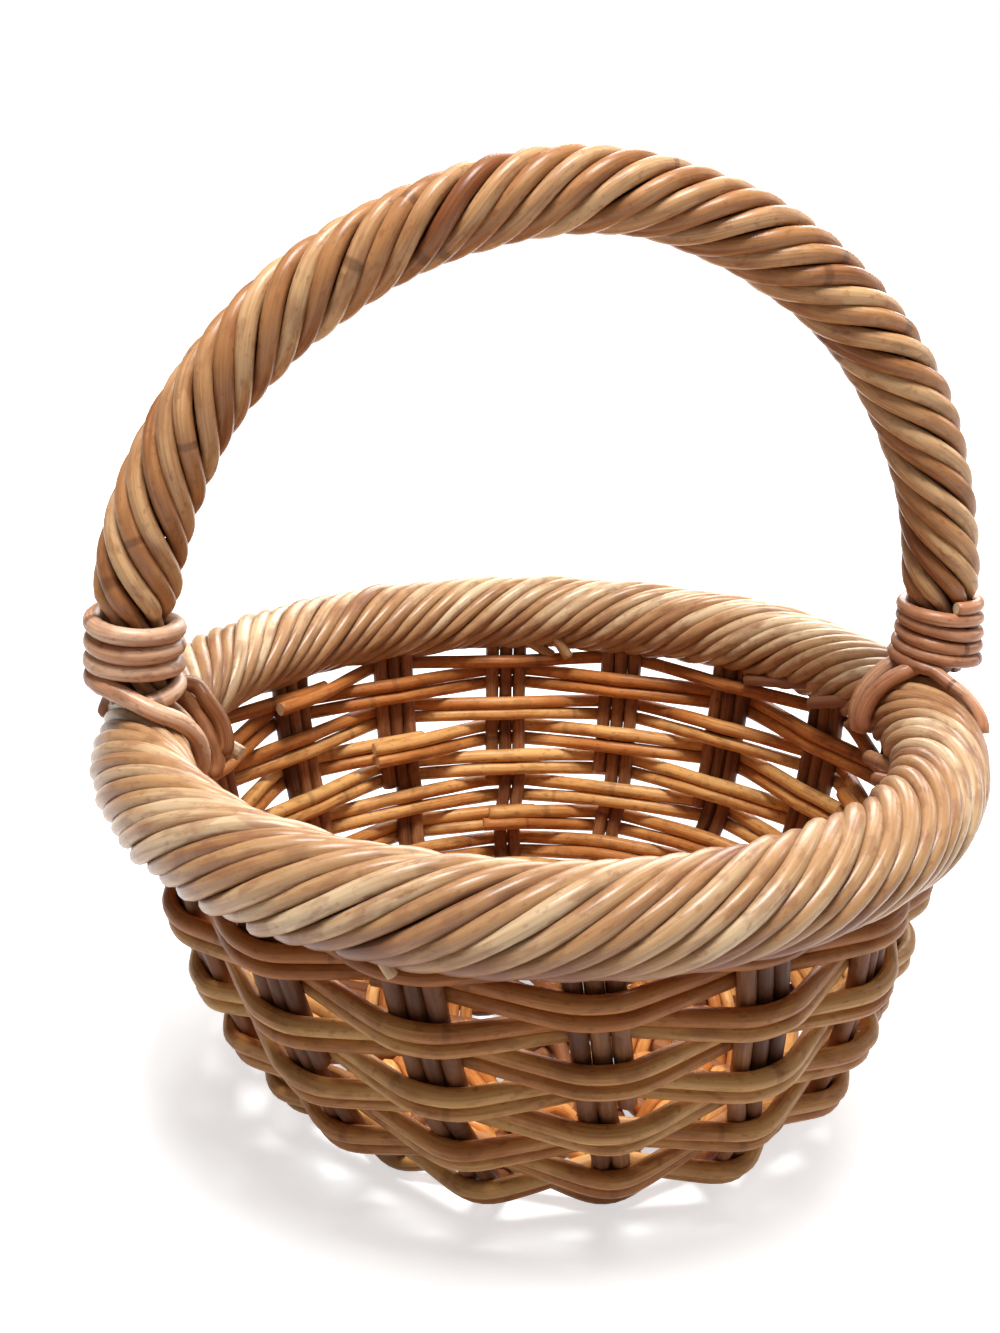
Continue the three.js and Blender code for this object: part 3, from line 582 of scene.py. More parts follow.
def shaded_outer_face(points):
    """Painted shade on the points of a cane's rings, by how far they face out of the basket."""
    away = np.hypot(points[..., 0], points[..., 1])
    over = away - away.mean(axis=1, keepdims=True)
    return OUTSIDE_PAINTED_SHADE * np.clip(0.4 + over / canes().weaver * 0.6, 0, 1)


# Finishes


def add_node(tree, kind, **values):
    node = tree.nodes.new(kind)
    for key, value in values.items():
        setattr(node, key, value)
    return node


def maths(tree, operation, *inputs, clamp=False):
    """A Math node whose inputs are numbers or sockets; gives its output."""
    node = add_node(tree, "ShaderNodeMath", operation=operation, use_clamp=clamp)
    for i, value in enumerate(inputs):
        if isinstance(value, (int, float)):
            node.inputs[i].default_value = value
        else:
            tree.links.new(value, node.inputs[i])
    return node.outputs[0]


def mixed(tree, factor, a, b):
    """A colour mix; gives its output."""
    node = add_node(tree, "ShaderNodeMix", data_type="RGBA")
    for socket, value in ((node.inputs[0], factor), (node.inputs[6], a), (node.inputs[7], b)):
        if isinstance(value, (int, float, tuple)):
            socket.default_value = value
        else:
            tree.links.new(value, socket)
    return node.outputs[2]


def noise(tree, vector, scale, detail, stretch):
    """Noise whose grain is stretched along the cane; gives its factor."""
    squeeze = add_node(tree, "ShaderNodeVectorMath", operation="MULTIPLY")
    tree.links.new(vector, squeeze.inputs[0])
    squeeze.inputs[1].default_value = (1, 1, stretch)
    node = add_node(tree, "ShaderNodeTexNoise")
    tree.links.new(squeeze.outputs[0], node.inputs["Vector"])
    node.inputs["Scale"].default_value = scale
    node.inputs["Detail"].default_value = detail
    return node.outputs["Fac"]


def ramp(tree, value, low, high):
    """Maps low to 0 and high to 1, smoothly."""
    node = add_node(tree, "ShaderNodeMapRange", interpolation_type="SMOOTHSTEP")
    tree.links.new(value, node.inputs["Value"])
    node.inputs["From Min"].default_value = low
    node.inputs["From Max"].default_value = high
    return node.outputs["Result"]


def cane_grain():
    """Node group: the streaks, tones, blotches and node rings of a peeled, varnished cane, and
    the painted shade that its shade coordinate asks for.
    """
    group = bpy.data.node_groups.get("Cane grain")
    if group:
        return group
    group = bpy.data.node_groups.new("Cane grain", "ShaderNodeTree")
    for way, kind, names in (
        ("INPUT", "NodeSocketColor", ("Pale", "Middle", "Dark")),
        ("INPUT", "NodeSocketFloat", ("Blotches", "Rings", "Depth")),
        ("OUTPUT", "NodeSocketColor", ("Color",)),
        ("OUTPUT", "NodeSocketFloat", ("Roughness", "Height")),
    ):
        for name in names:
            group.interface.new_socket(name, in_out=way, socket_type=kind)
    given = add_node(group, "NodeGroupInput").outputs

    def carried(name, socket="Fac"):
        return add_node(group, "ShaderNodeAttribute", attribute_name=name).outputs[socket]

    def plus(a, b):
        return maths(group, "ADD", a, b)

    def less(a, b):
        return maths(group, "SUBTRACT", a, b)

    def times(a, b, clamp=False):
        return maths(group, "MULTIPLY", a, b, clamp=clamp)

    def darker(colour, mask):
        return mixed(group, mask, colour, given["Dark"])

    straight = carried("straight", "Vector")
    tone, shade, knots = carried("tone"), carried("shade"), carried("knots")
    streaks, fibres, drift, patches, specks, mottle = (
        noise(group, straight, *values)
        for values in (STREAKS, FIBRES, DRIFT, PATCHES, SPECKS, MOTTLE)
    )

    level = plus(tone, times(less(drift, 0.5), 1.3))
    level = plus(level, times(less(streaks, 0.5), 0.75))
    colour = mixed(group, ramp(group, level, 0.0, 0.52), given["Pale"], given["Middle"])
    colour = darker(colour, ramp(group, level, 0.5, 1.08))

    blotch = times(ramp(group, patches, 0.55, 0.72), given["Blotches"], clamp=True)
    cloud = times(ramp(group, mottle, 0.5, 0.64), given["Blotches"], clamp=True)
    colour = darker(colour, blotch)
    colour = darker(colour, times(ramp(group, specks, 0.56, 0.72), 0.4))
    colour = darker(colour, times(cloud, 0.6))

    nearest = maths(group, "ABSOLUTE", less(knots, maths(group, "ROUND", knots)))
    ring = less(1.0, ramp(group, nearest, 0.004, 0.014))
    halo = less(1.0, ramp(group, nearest, 0.0, 0.09))
    # Painted shade: darkens the cane towards brown by its shade coordinate, between the strands
    # of a rope and on faces that look out of the basket
    painted_shade = times(shade, given["Depth"], clamp=True)
    brown = mixed(group, 0.72, given["Dark"], RING_AND_SHADE_BROWN)
    colour = darker(colour, times(halo, 0.15))
    colour = mixed(group, times(ring, given["Rings"], clamp=True), colour, brown)
    colour = mixed(group, painted_shade, colour, brown)

    rough = plus(plus(0.32, times(mottle, 0.22)), times(painted_shade, 0.25))
    height = plus(times(streaks, 0.6), times(fibres, 0.25))
    height = plus(plus(height, times(mottle, 0.6)), times(halo, 0.35))
    height = less(height, times(ring, 0.7))
    sent = add_node(group, "NodeGroupOutput").inputs
    for name, value in (("Color", colour), ("Roughness", rough), ("Height", height)):
        group.links.new(value, sent[name])
    return group


def new_finish(name):
    """A new material, with its node tree and its shader."""
    made = bpy.data.materials.new(name)
    made.use_nodes = True
    return made, made.node_tree, made.node_tree.nodes["Principled BSDF"]


def cane_finish(kind):
    """Varnished cane in the three tones of one kind."""
    name = f"varnished {kind} cane"
    if name in bpy.data.materials:
        return bpy.data.materials[name]
    made, tree, shader = new_finish(name)
    grain = add_node(tree, "ShaderNodeGroup", node_tree=cane_grain())
    for socket, tone in (("Pale", "pale"), ("Middle", "mid"), ("Dark", "dark")):
        grain.inputs[socket].default_value = (*getattr(colours(), f"{kind}_{tone}"), 1.0)
    *strengths, gloss = FINISHES[kind]
    for socket, strength in zip(("Blotches", "Rings", "Depth"), strengths):
        grain.inputs[socket].default_value = strength
    bump = add_node(tree, "ShaderNodeBump")
    bump.inputs["Strength"].default_value = 0.6
    bump.inputs["Distance"].default_value = 0.0005
    tree.links.new(grain.outputs["Color"], shader.inputs["Base Color"])
    tree.links.new(grain.outputs["Roughness"], shader.inputs["Roughness"])
    tree.links.new(grain.outputs["Height"], bump.inputs["Height"])
    tree.links.new(bump.outputs["Normal"], shader.inputs["Normal"])
    shader.inputs["Coat Weight"].default_value = gloss
    shader.inputs["Coat Roughness"].default_value = 0.25
    shader.inputs["Specular IOR Level"].default_value = 0.14
    return made


def pith_finish():
    """The pale, porous face of a cut cane."""
    name = "cut cane pith"
    if name in bpy.data.materials:
        return bpy.data.materials[name]
    made, tree, shader = new_finish(name)
    place = add_node(tree, "ShaderNodeTexCoord")
    pores = add_node(tree, "ShaderNodeTexVoronoi")
    pores.inputs["Scale"].default_value = 1600
    tree.links.new(place.outputs["Object"], pores.inputs["Vector"])
    dots = ramp(tree, pores.outputs["Distance"], 0.15, 0.45)
    pale = (*colours().pith, 1.0)
    tree.links.new(mixed(tree, dots, PORE_BROWN, pale), shader.inputs["Base Color"])
    shader.inputs["Roughness"].default_value = 0.8
    return made


# Pieces


class BASKET_OT_stakes(bpy.types.Operator):
    """Stakes: groups of two canes that go all the way, and a short third one"""

    bl_idname = "basket.stakes"
    bl_label = "Stakes"

    def execute(self, context):
        s, c = shape(), canes()
        top = UNDER_BORDER - s.first_row_drop
        bottom = wall_table()[0][-1] - PROFILE_SPARE
        for group in range(s.groups):
            made = Canes(100 + group)
            run = np.linspace(top, bottom, 64)
            r, z, out_r, out_z = wall_at(run)
            for number in range(2):
                side = (number - 0.5) * c.stake_pitch + pair_shift(run)
                jig = 0.0003 * np.sin(run * 70 + made.random.uniform(0, TAU))
                path = around(group_turn(group, run), r + out_r * jig, z + out_z * jig, side)
                thick = c.stake * made.random.uniform(0.99, 1.05)
                made.add(path, thick, tone=made.random.uniform(0.25, 0.85), shade=shaded_outer_face)
            # The handle's bow takes the place of the third cane in the groups at its feet
            if group % (s.groups // 2):
                depth = (s.bye_rows + made.random.uniform(-0.35, 0.5)) * s.row_pitch
                run = np.linspace(top, depth, 26)
                r, z, _, _ = wall_at(run)
                path = around(group_turn(group, run), r, z, c.stake_pitch)
                thick = c.stake * made.random.uniform(0.98, 1.05)
                made.add(path, thick, tone=made.random.uniform(0.2, 0.9), shade=shaded_outer_face)
            name = f"stake_group_{group + 1:02d}"
            made.build(f"{name}_canes", cane_finish("stake"), [name], "stake_cane")
        return {"FINISHED"}


def weaver_path(row, lift, random):
    """A weaver's way round: outside one group, inside the next, its ends lapped inside."""
    s, c = shape(), canes()
    run = (row - 1) * s.row_pitch - lift
    swing = c.stake + c.weaver + TOUCH
    wide = run < (s.bye_rows + 0.5) * s.row_pitch
    edge = c.stake_pitch if wide else c.stake_pitch / 2
    first = (row * 5) % s.groups
    start = first if (first + row) % 2 else first + 1
    tips = edge + random.uniform(*TIPS_PAST, 2)
    beside, over = edge + BESIDE_STAKES, edge * 0.4
    points = []
    for step in range(s.groups + 1):
        group = start + step
        out = swing if (group + row) % 2 == 0 else -swing
        here = run + random.uniform(-WEAVER_STRAY, WEAVER_STRAY)
        r, z, out_r, out_z = wall_at(here)
        stations = [(-beside, 0.8), (-over, 1), (over, 1), (beside, 0.8)]
        lapped = 0
        if step == 0:
            stations[0] = (-tips[0], 1)
        if step == s.groups:
            stations[3] = (tips[1], 0.95)
            lapped = 2 * c.weaver + 0.0003
        turn = group_turn(group, here)
        for sideways, share in stations:
            lie = out * share - lapped
            points.append(around(turn, r + out_r * lie, z + out_z * lie, sideways))
    return softened(smooth_path(points, 0.0036), 3)


class BASKET_OT_weave(bpy.types.Operator):
    """Weave: one single cane under the border and rows of two canes below it"""

    bl_idname = "basket.weave"
    bl_label = "Weave"

    def execute(self, context):
        s, c = shape(), canes()
        for row in range(1, s.rows + 2):
            for half, lift in (("upper", s.pair_pitch / 2), ("lower", -s.pair_pitch / 2)):
                if half == "upper" and not 1 < row <= s.rows:
                    continue
                made = Canes(300 + row * 2 + (half == "upper"))
                # The rows under the border are redder in their own colour and darker with painted
                # shade from the border
                red_and_shaded = 0.42 * max(0.0, 1 - (row - 1) / 4)
                tone = made.random.uniform(0.0, 0.36) + red_and_shaded
                path = weaver_path(row, lift, made.random)
                thick = c.weaver * made.random.uniform(0.97, 1.05)
                made.add(path, thick, tone=tone, shade=shaded_outer_face)
                name = f"weaver_{row:02d}_{half}"
                made.build(f"{name}_cane", cane_finish("weaver"), [name], "weaver_cane")
        return {"FINISHED"}


class BASKET_OT_border(bpy.types.Operator):
    """Border: stake ends folded over and laid round the rim as one rope"""

    bl_idname = "basket.border"
    bl_label = "Border"

    def execute(self, context):
        s, c = shape(), canes()
        made = Canes(500)
        lay = c.border_radius - c.border_cane

        def depth(points):
            """How deep a point lies between the strands of the rope, which sets the painted shade
            there.
            """
            x = points[..., 0] - s.rim_shift
            y = points[..., 1] / s.rim_oval
            z = points[..., 2] - s.rim_tilt * x
            off = np.hypot(np.hypot(x, y) - s.rim_radius, z - s.rim_height)
            return np.clip((0.93 - off / c.border_radius) / 0.14, 0, 1) ** 1.3

        for number in range(c.border_ends):
            begin = number * TAU / c.border_ends + made.random.uniform(-0.008, 0.008)
            folded = FOLDS_SHOW[0] < begin < FOLDS_SHOW[1] and made.random.uniform() < 0.6
            low = made.random.uniform(-0.21, -0.15) if folded else STRAND_START
            high = STRAND_END + made.random.uniform(-0.03, 0.05)
            first = low + np.array([0, 0.004, 0.01, 0.018])
            turns = np.concatenate([first, np.linspace(low + 0.028, high, 50)])
            tucked = np.clip((turns - STRAND_START) / 0.13, 0, 1)
            tucked = tucked * np.clip((STRAND_TUCKED - turns) / 0.12, 0, 1)
            reach = (lay + made.random.uniform(-0.0009, 0.0006)) * (0.72 + 0.28 * tucked)
            path = around(
                begin + turns * TAU / c.border_turns,
                s.rim_radius + reach * np.cos(turns * TAU),
                s.rim_height + reach * np.sin(turns * TAU),
            )
            thick = c.border_cane * made.random.uniform(0.9, 1.08)
            # Painted shade: the strands are darker on the inner and the lower side of the rope
            # and at the front of the rim, paler at its back
            inner = 0.22 * np.clip((turns - 0.33) / 0.2, 0, 1)
            under = 0.6 * np.clip((-turns - 0.02) / 0.14, 0, 1)
            front = 0.15 * math.cos(begin - 4.5)
            made.add(
                path,
                rounded(path, thick, (folded, False)),
                tone=made.random.uniform(0.08, 0.58) + inner + under + front,
                shade=depth,
                knot=0.34,
                uneven=0.05,
                sides=12,
                cuts=(not folded, True),
            )
        for radius, tone, *ends in CUT_ENDS:
            path = smooth_path(laid(ends, radius), 0.002)
            made.add(path, radius, tone=tone, sides=12, cuts=(False, True))
        # A core fills the middle of the rope; it lies so deep between the strands that its colour
        # is all painted shade
        core = around(np.linspace(0, TAU, 96), s.rim_radius, s.rim_height)
        thick = c.border_radius * 0.62
        made.add(core, thick, tone=0.9, sides=12, shade=depth, cuts=(False, False))
        made.build("border_rope", cane_finish("border"), ["border"], "border_cane")
        return {"FINISHED"}


def arch(share):
    """Middle of the handle at a share of its way from the left foot to the right one."""
    s, c = shape(), canes()
    turn = math.pi * np.asarray(share, float)
    across = -np.cos(turn)
    rise = np.maximum(np.sin(turn), 0) ** (2 / c.handle_upright)
    tuck = np.where(across < 0, c.left_tuck * (1 - rise) ** 5, 0)
    middle = s.rim_shift + c.handle_centre + c.handle_sway * rise**2 + tuck
    x = middle + c.handle_half * np.sign(across) * np.abs(across) ** (2 / c.handle_crown)
    return np.stack([x, np.zeros_like(x), s.rim_height + c.handle_rise * rise], -1)


def arch_share(height):
    """Share of the way at which the left leg reaches this height."""
    rise = min((height - shape().rim_height) / canes().handle_rise, 1)
    return math.asin(rise ** (canes().handle_upright / 2)) / math.pi


def rope_foot(sign):
    """Height of a foot of the handle's rope, over the border."""
    rise = sign * shape().rim_tilt * canes().handle_half
    return shape().rim_height + canes().border_radius + 0.0026 + rise


def rope_line(stations):
    """Even stations along the handle's rope, the directions out of its arch, and their runs."""
    dense = arch(np.linspace(arch_share(rope_foot(-1)), 1 - arch_share(rope_foot(1)), 400))
    centre, run = spread(dense, stations)
    along = np.gradient(centre, axis=0)
    along /= np.linalg.norm(along, axis=1)[:, None]
    return centre, -np.cross([0.0, 1.0, 0.0], along), run


def bound(winding, cane):
    """How far up the handle's rope a winding reaches."""
    return winding["lift"] + winding["wraps"] * winding["pitch"] + cane


def fullness(run):
    """Share of its full thickness that the handle's rope has: its windings draw it in."""
    c = canes()
    left, right = bound(LEFT_WINDING, c.left_cane), bound(RIGHT_WINDING, c.right_cane)
    over = np.where(run < run[-1] / 2, run - left, run[-1] - run - right)
    free = eased((over + 0.003) / 0.009)
    bulge = 0.08 * np.exp(-(((run - left - 0.018) / 0.028) ** 2))
    drawn = c.foot_radius + (c.handle_radius - c.foot_radius) * free
    return drawn / c.handle_radius + bulge * free


def bow_path(centre):
    """The bow rod's way: up beside the stakes at one foot, over the arch, and down again."""
    s, c = shape(), canes()
    tip = 4.3 * s.row_pitch
    down = np.array([0.004 - s.first_row_drop, 0.0, tip * 0.5, tip])
    r, z, _, _ = wall_at(down)
    legs = []
    for group, end in ((s.groups // 2, centre[0]), (0, centre[-1])):
        low = around(group_turn(group, down), r, z, c.stake_pitch + AIR)
        legs.append(np.concatenate([[end, low[0] * 0.45 + end * 0.55], low]))
    left, right = legs
    return smooth_path(np.concatenate([left[::-1], centre[6:-6:8], right]), 0.005)


class BASKET_OT_handle(bpy.types.Operator):
    """Handle: a bow rod and eight canes twisted round it"""

    bl_idname = "basket.handle"
    bl_label = "Handle"

    def execute(self, context):
        c = canes()
        centre, out, run = rope_line(190)
        full = fullness(run)

        def depth(points):
            """How deep a point lies between the strands of the rope, which sets the painted shade
            there.
            """
            gap = np.linalg.norm(points[:, :, None, :] - centre[::3], axis=-1).min(-1)
            return np.clip((0.88 - gap / c.handle_radius) / 0.25, 0, 1)

        for number in range(c.handle_strands):
            made = Canes(700 + number)
            turn = (number / c.handle_strands + c.handle_turns * run / run[-1]) * TAU
            turn = turn + 0.05 * np.sin(run * 24 + number * 2.1)
            lay = (c.handle_radius - c.handle_cane) * full
            lay = lay + 0.0004 * np.sin(run * 60 + number * 1.7)
            path = centre + out * (lay * np.cos(turn))[:, None]
            path[:, 1] += lay * np.sin(turn)
            thick = c.handle_cane * np.clip(full, 0, 1.02) ** 0.6
            tone = HANDLE_TONES[number % len(HANDLE_TONES)]
            made.add(path, thick, tone=tone, sides=12, shade=depth, knot=0.2, uneven=0.04)
            name = f"handle_strand_{number + 1}"
            made.build(f"{name}_cane", cane_finish("handle"), [name], "handle_cane")

        made = Canes(720)
        path = bow_path(centre)
        # The rod's ends are thinned where they go down through the border
        whole = np.clip((path[:, 2] - (shape().rim_height - 0.012)) / 0.03, 0, 1)
        made.add(path, ROD_TIP + ROD_SWELL * whole, tone=0.8, sides=12)
        made.build("handle_bow_rod", cane_finish("stake"), ["handle_bow"], "handle_cane")
        return {"FINISHED"}


def winding_path(foot, cane, led, wraps, pitch, lift, tilt, start, flare=0.0):
    """One cane led over the border and wound up a foot of the handle: -1 is left, 1 is right."""
    turns = np.linspace(0, wraps, int(wraps * 28))
    height = rope_foot(foot) + 0.00035 + lift + pitch * turns + 0.0004 * np.sin(turns * 8.3)
    share = np.array([arch_share(h) for h in height])
    centre = arch(1 - share if foot > 0 else share)
    radius = canes().foot_radius + cane + AIR + flare * (1 - turns / wraps) ** 2
    radius = radius + 0.0003 * np.sin(turns * 5.1)
    turn = (start - turns) * TAU
    out = radius * np.cos(turn)
    rise = height - tilt * (1 - turns / wraps) * out
    loops = np.stack([centre[:, 0] + out, radius * np.sin(turn), rise], -1)
    over = laid(led, cane, 0.0 if foot > 0 else math.pi)[::-1]
    return np.concatenate([smooth_path(np.concatenate([over, loops[2:4]]), 0.003), loops[5:]])


class BASKET_OT_windings(bpy.types.Operator):
    """Windings: one cane round each foot of the handle, led over the border"""

    bl_idname = "basket.windings"
    bl_label = "Windings"

    def execute(self, context):
        c = canes()
        finish = cane_finish("winding")
        made = Canes(800)
        path = winding_path(-1, c.left_cane, LEFT_LED, **LEFT_WINDING)
        made.add(path, c.left_cane, tone=0.2, sides=12, uneven=0.05)
        thin = 0.0022
        made.add(smooth_path(laid(LEFT_BESIDE, thin, math.pi), 0.003), thin, tone=0.1)
        # A last half wrap lies under the others at the left foot
        share = np.linspace(0, 1, 40)
        turn = (0.79 + 0.55 * share) * TAU
        foot = arch(arch_share(rope_foot(-1) + 0.004))
        reach = c.foot_radius + c.left_cane + AIR
        rise = rope_foot(-1) + 0.0012 + 0.0062 * share**0.7
        path = np.stack([foot[0] + reach * np.cos(turn), reach * np.sin(turn), rise], -1)
        thick = c.left_cane * 0.95
        made.add(path, thick, tone=0.15, sides=12, uneven=0.05, cuts=(False, False))
        made.build("left_foot_winding_cane", finish, ["left_foot_winding"], "winding_cane")
        made = Canes(810)
        path = winding_path(1, c.right_cane, RIGHT_LED, **RIGHT_WINDING)
        made.add(path, c.right_cane, tone=0.5, sides=12, uneven=0.07)
        made.build("right_foot_winding_cane", finish, ["right_foot_winding"], "winding_cane")
        return {"FINISHED"}


class BASKET_OT_tails(bpy.types.Operator):
    """Tails: cane ends that come out from under the windings and lie over the border"""

    bl_idname = "basket.tails"
    bl_label = "Tails"

    def execute(self, context):
        tail = canes().tail_cane
        left = (
            ((LEFT_DARK, 0.0032, "stake", 0.3), (LEFT_THIN, 0.0022, "handle", 0.5)),
            ((LEFT_THICK, 0.0036, "handle", 0.8), (LEFT_OUTSIDE, 0.0032, "stake", 0.5)),
        )
        right = (
            ((RIGHT_INNER, tail, "winding", 0.45),),
            ((RIGHT_BESIDE, tail, "winding", 0.35),),
        )
        tails = (
            ("left_foot_tail_1", math.pi, left[0]),
            ("left_foot_tail_2", math.pi, left[1]),
            ("right_foot_tail_1", 0.0, right[0]),
            ("right_foot_tail_2", 0.0, right[1]),
        )
        for number, (name, foot, parts) in enumerate(tails):
            for index, (stations, radius, kind, tone) in enumerate(parts):
                made = Canes(850 + number * 2 + index)
                path = smooth_path(laid(stations, radius, foot), 0.002)
                thick = rounded(path, radius, (False, True))
                made.add(path, thick, tone=tone, sides=12, cuts=(True, False))
                piece = f"{name}_second_cane" if index else f"{name}_cane"
                nodes = () if index else [name]
                made.build(piece, cane_finish(kind), nodes, "winding_cane")
        return {"FINISHED"}


def stick_route(number, level):
    """A base stick's way in between two stake groups, through the cross, and out again."""
    s, c = shape(), canes()
    place = number - (STICKS - 1) / 2
    fan = place * TAU / s.groups
    beside = c.stake_pitch * 1.5 + AIR
    reaches = CROSS_RADIUS - 0.002, CROSS_RADIUS * 1.6, s.base_radius
    halves = []
    for side, turn in ((-1, math.pi - fan), (1, fan)):
        end = side * (CROSS_RADIUS / 2 - 0.001)
        near = [(end, place * CROSS_LANE, s.stake_level + level * (c.stake + TOUCH))]
        arm = [(reach, beside, s.stake_level) for reach in reaches]
        halves.append(np.concatenate([turned(near, CROSS_SWING), turned(arm, turn)]))
    return np.concatenate([halves[0][::-1], halves[1]])


class BASKET_OT_base(bpy.types.Operator):
    """Base: a cross of sticks, and canes woven round them and the ends of the stakes"""

    bl_idname = "basket.base"
    bl_label = "Base"

    def execute(self, context):
        s, c = shape(), canes()
        cross = group_turn(0, wall_table()[0][-1]) + TAU / s.groups / 2
        for level, word, turn in ((-1, "lower", cross), (1, "upper", cross + math.pi / 2)):
            for number in range(STICKS):
                made = Canes(900 + number + STICKS * (level > 0))
                path = settled(smooth_path(turned(stick_route(number, level), turn), 0.005))
                made.add(path, c.stake * 0.97, tone=made.random.uniform(0.3, 0.8))
                name = f"base_stick_{word}_{number + 1}"
                made.build(f"{name}_cane", cane_finish("stake"), [name], "stake_cane")

        start = CROSS_RADIUS + c.base_cane + 0.001
        weaves = {"upper": Canes(930), "lower": Canes(940)}
        sway = (c.stake + c.base_cane) * 0.97
        turn = np.linspace(0, TAU, 321)
        for i, r in enumerate(np.arange(start, BASE_WEAVE_EDGE, 2 * c.base_cane + TOUCH)):
            waves = s.groups / 2 if r < s.stake_end else s.groups
            pair = math.pi * (i // 2 % 2)
            path = around(turn + cross, r, s.stake_level + sway * np.cos(turn * waves + pair))
            made = weaves["lower" if i % 2 else "upper"]
            tone = made.random.uniform(0.2, 0.7)
            made.add(path, c.base_cane, tone=tone, sides=8, cuts=(False, False))
        for word, made in weaves.items():
            name = f"base_weave_{word}"
            made.build(f"{name}_canes", cane_finish("weaver"), [name], "weaver_cane")
        return {"FINISHED"}


# Stage


def floor_finish():
    """A pale floor that the camera sees as white, with the basket's shadow on it."""
    made, tree, shader = new_finish("pale_floor")
    shader.inputs["Base Color"].default_value = (*colours().floor, 1.0)
    shader.inputs["Roughness"].default_value = 0.9
    shader.inputs["Specular IOR Level"].default_value = 0.1
    rays = add_node(tree, "ShaderNodeLightPath").outputs
    seen = maths(tree, "MAXIMUM", rays["Is Camera Ray"], rays["Is Glossy Ray"])
    seen = maths(tree, "MAXIMUM", seen, rays["Is Transmission Ray"])
    away = add_node(tree, "ShaderNodeVectorMath", operation="LENGTH")
    place = add_node(tree, "ShaderNodeTexCoord").outputs["Object"]
    tree.links.new(place, away.inputs[0])
    far = ramp(tree, away.outputs["Value"], *FLOOR_FADE)
    level = maths(tree, "ADD", maths(tree, "MULTIPLY", far, FLOOR_FAR), FLOOR_NEAR)
    glow = add_node(tree, "ShaderNodeEmission")
    tree.links.new(maths(tree, "MULTIPLY", seen, level), glow.inputs["Strength"])
    both = add_node(tree, "ShaderNodeAddShader")
    tree.links.new(shader.outputs[0], both.inputs[0])
    tree.links.new(glow.outputs[0], both.inputs[1])
    tree.links.new(both.outputs[0], tree.nodes["Material Output"].inputs["Surface"])
    return made


def add_lamp(name, place, power, size):
    """A square soft lamp that looks at the basket."""
    lamp = bpy.data.lights.new(name, "AREA")
    lamp.energy = power
    lamp.size = size
    holder = bpy.data.objects.new(name, lamp)
    holder.location = place
    look = Vector(LAMP_TARGET) - Vector(place)
    holder.rotation_euler = look.to_track_quat("-Z", "Y").to_euler()
    bpy.context.scene.collection.objects.link(holder)


def add_camera():
    """The photo's camera, whose place and turn come from outlines of the rim and the handle."""
    back = Matrix.Rotation(-CAMERA_TURN, 3, "Z")
    eye = Vector((0, -CAMERA_AWAY * math.cos(CAMERA_LIFT), CAMERA_AWAY * math.sin(CAMERA_LIFT)))
    level = math.cos(CAMERA_PITCH)
    ahead = Vector(
        (math.sin(CAMERA_YAW) * level, math.cos(CAMERA_YAW) * level, -math.sin(CAMERA_PITCH))
    )
    right = ahead.cross(Vector((0, 0, 1))).normalized()
    up = right.cross(ahead)
    c, s = math.cos(CAMERA_ROLL), math.sin(CAMERA_ROLL)
    right, up = c * right + s * up, c * up - s * right
    camera = bpy.data.objects.new("camera", bpy.data.cameras.new("camera"))
    bpy.context.scene.collection.objects.link(camera)
    axes = Matrix((back @ right, back @ up, back @ -ahead)).transposed()
    place = Vector(CAMERA_MIDDLE) + CAMERA_UNIT * (back @ eye)
    camera.matrix_world = Matrix.Translation(place) @ axes.to_4x4()
    camera.data.sensor_width = SENSOR
    camera.data.lens = FOCAL_PIXELS / PHOTO_HEIGHT * SENSOR
    camera.data.clip_start = 0.02
    bpy.context.scene.camera = camera


def add_floor():
    """A wide floor just under the basket."""
    mesh = bpy.data.meshes.new("floor")
    square = ((-1, -1), (1, -1), (1, 1), (-1, 1))
    corners = [(FLOOR_HALF * x, FLOOR_HALF * y, -FLOOR_UNDER) for x, y in square]
    mesh.from_pydata(corners, [], [(0, 1, 2, 3)])
    mesh.materials.append(floor_finish())
    floor = bpy.data.objects.new("floor", mesh)
    bpy.context.scene.collection.objects.link(floor)


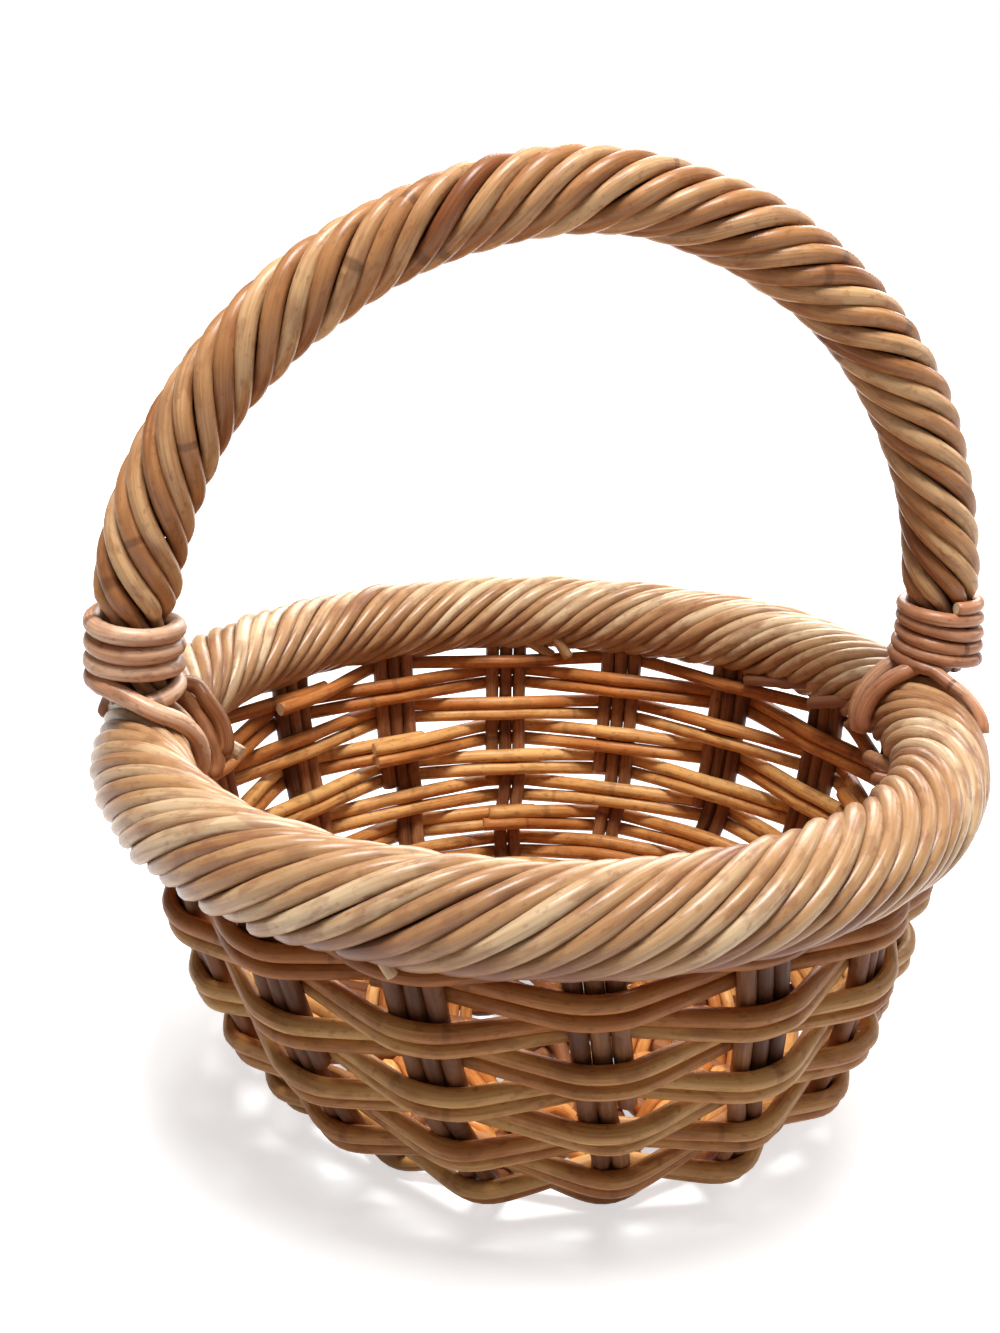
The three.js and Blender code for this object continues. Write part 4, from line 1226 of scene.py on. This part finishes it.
def add_world():
    """White surroundings, which the camera sees brighter than they light the basket."""
    world = bpy.data.worlds.new("studio")
    world.use_nodes = True
    bpy.context.scene.world = world
    tree = world.node_tree
    sky = tree.nodes["Background"]
    sky.inputs["Color"].default_value = (1, 1, 1, 1)
    rays = add_node(tree, "ShaderNodeLightPath").outputs
    seen = maths(tree, "MAXIMUM", rays["Is Camera Ray"], rays["Is Transmission Ray"])
    level = maths(tree, "ADD", maths(tree, "MULTIPLY", seen, WORLD_SEEN), WORLD_LIGHT)
    tree.links.new(level, sky.inputs["Strength"])


class BASKET_OT_stage(bpy.types.Operator):
    """Stage: pale floor, soft lamps, white surroundings and the camera of the photo"""

    bl_idname = "basket.stage"
    bl_label = "Stage"

    def execute(self, context):
        add_floor()
        add_world()
        for name, values in LAMPS.items():
            add_lamp(name, *values)
        add_camera()
        context.scene.view_settings.view_transform = "Standard"
        return {"FINISHED"}


PIECE_OPERATORS = (
    BASKET_OT_stakes,
    BASKET_OT_weave,
    BASKET_OT_border,
    BASKET_OT_handle,
    BASKET_OT_windings,
    BASKET_OT_tails,
    BASKET_OT_base,
    BASKET_OT_stage,
)


class BASKET_PT_panel(bpy.types.Panel):
    """Lists the pieces of the basket"""

    bl_idname = "BASKET_PT_panel"
    bl_label = "Harvest basket"
    bl_space_type = "VIEW_3D"
    bl_region_type = "UI"
    bl_category = "Harvest basket"

    def draw(self, context):
        for operator in PIECE_OPERATORS:
            self.layout.operator(operator.bl_idname)


CLASSES = (BasketShape, BasketCanes, BasketColours, *PIECE_OPERATORS, BASKET_PT_panel)


def register():
    for kind in CLASSES:
        bpy.utils.register_class(kind)
    bpy.types.Scene.basket_shape = bpy.props.PointerProperty(type=BasketShape)
    bpy.types.Scene.basket_canes = bpy.props.PointerProperty(type=BasketCanes)
    bpy.types.Scene.basket_colours = bpy.props.PointerProperty(type=BasketColours)


def unregister():
    del bpy.types.Scene.basket_colours
    del bpy.types.Scene.basket_canes
    del bpy.types.Scene.basket_shape
    for kind in reversed(CLASSES):
        bpy.utils.unregister_class(kind)


def main():
    """Builds every piece and the stage."""
    register()
    bpy.ops.basket.stakes()
    bpy.ops.basket.weave()
    bpy.ops.basket.border()
    bpy.ops.basket.handle()
    bpy.ops.basket.windings()
    bpy.ops.basket.tails()
    bpy.ops.basket.base()
    bpy.ops.basket.stage()


if __name__ == "__main__":
    main()
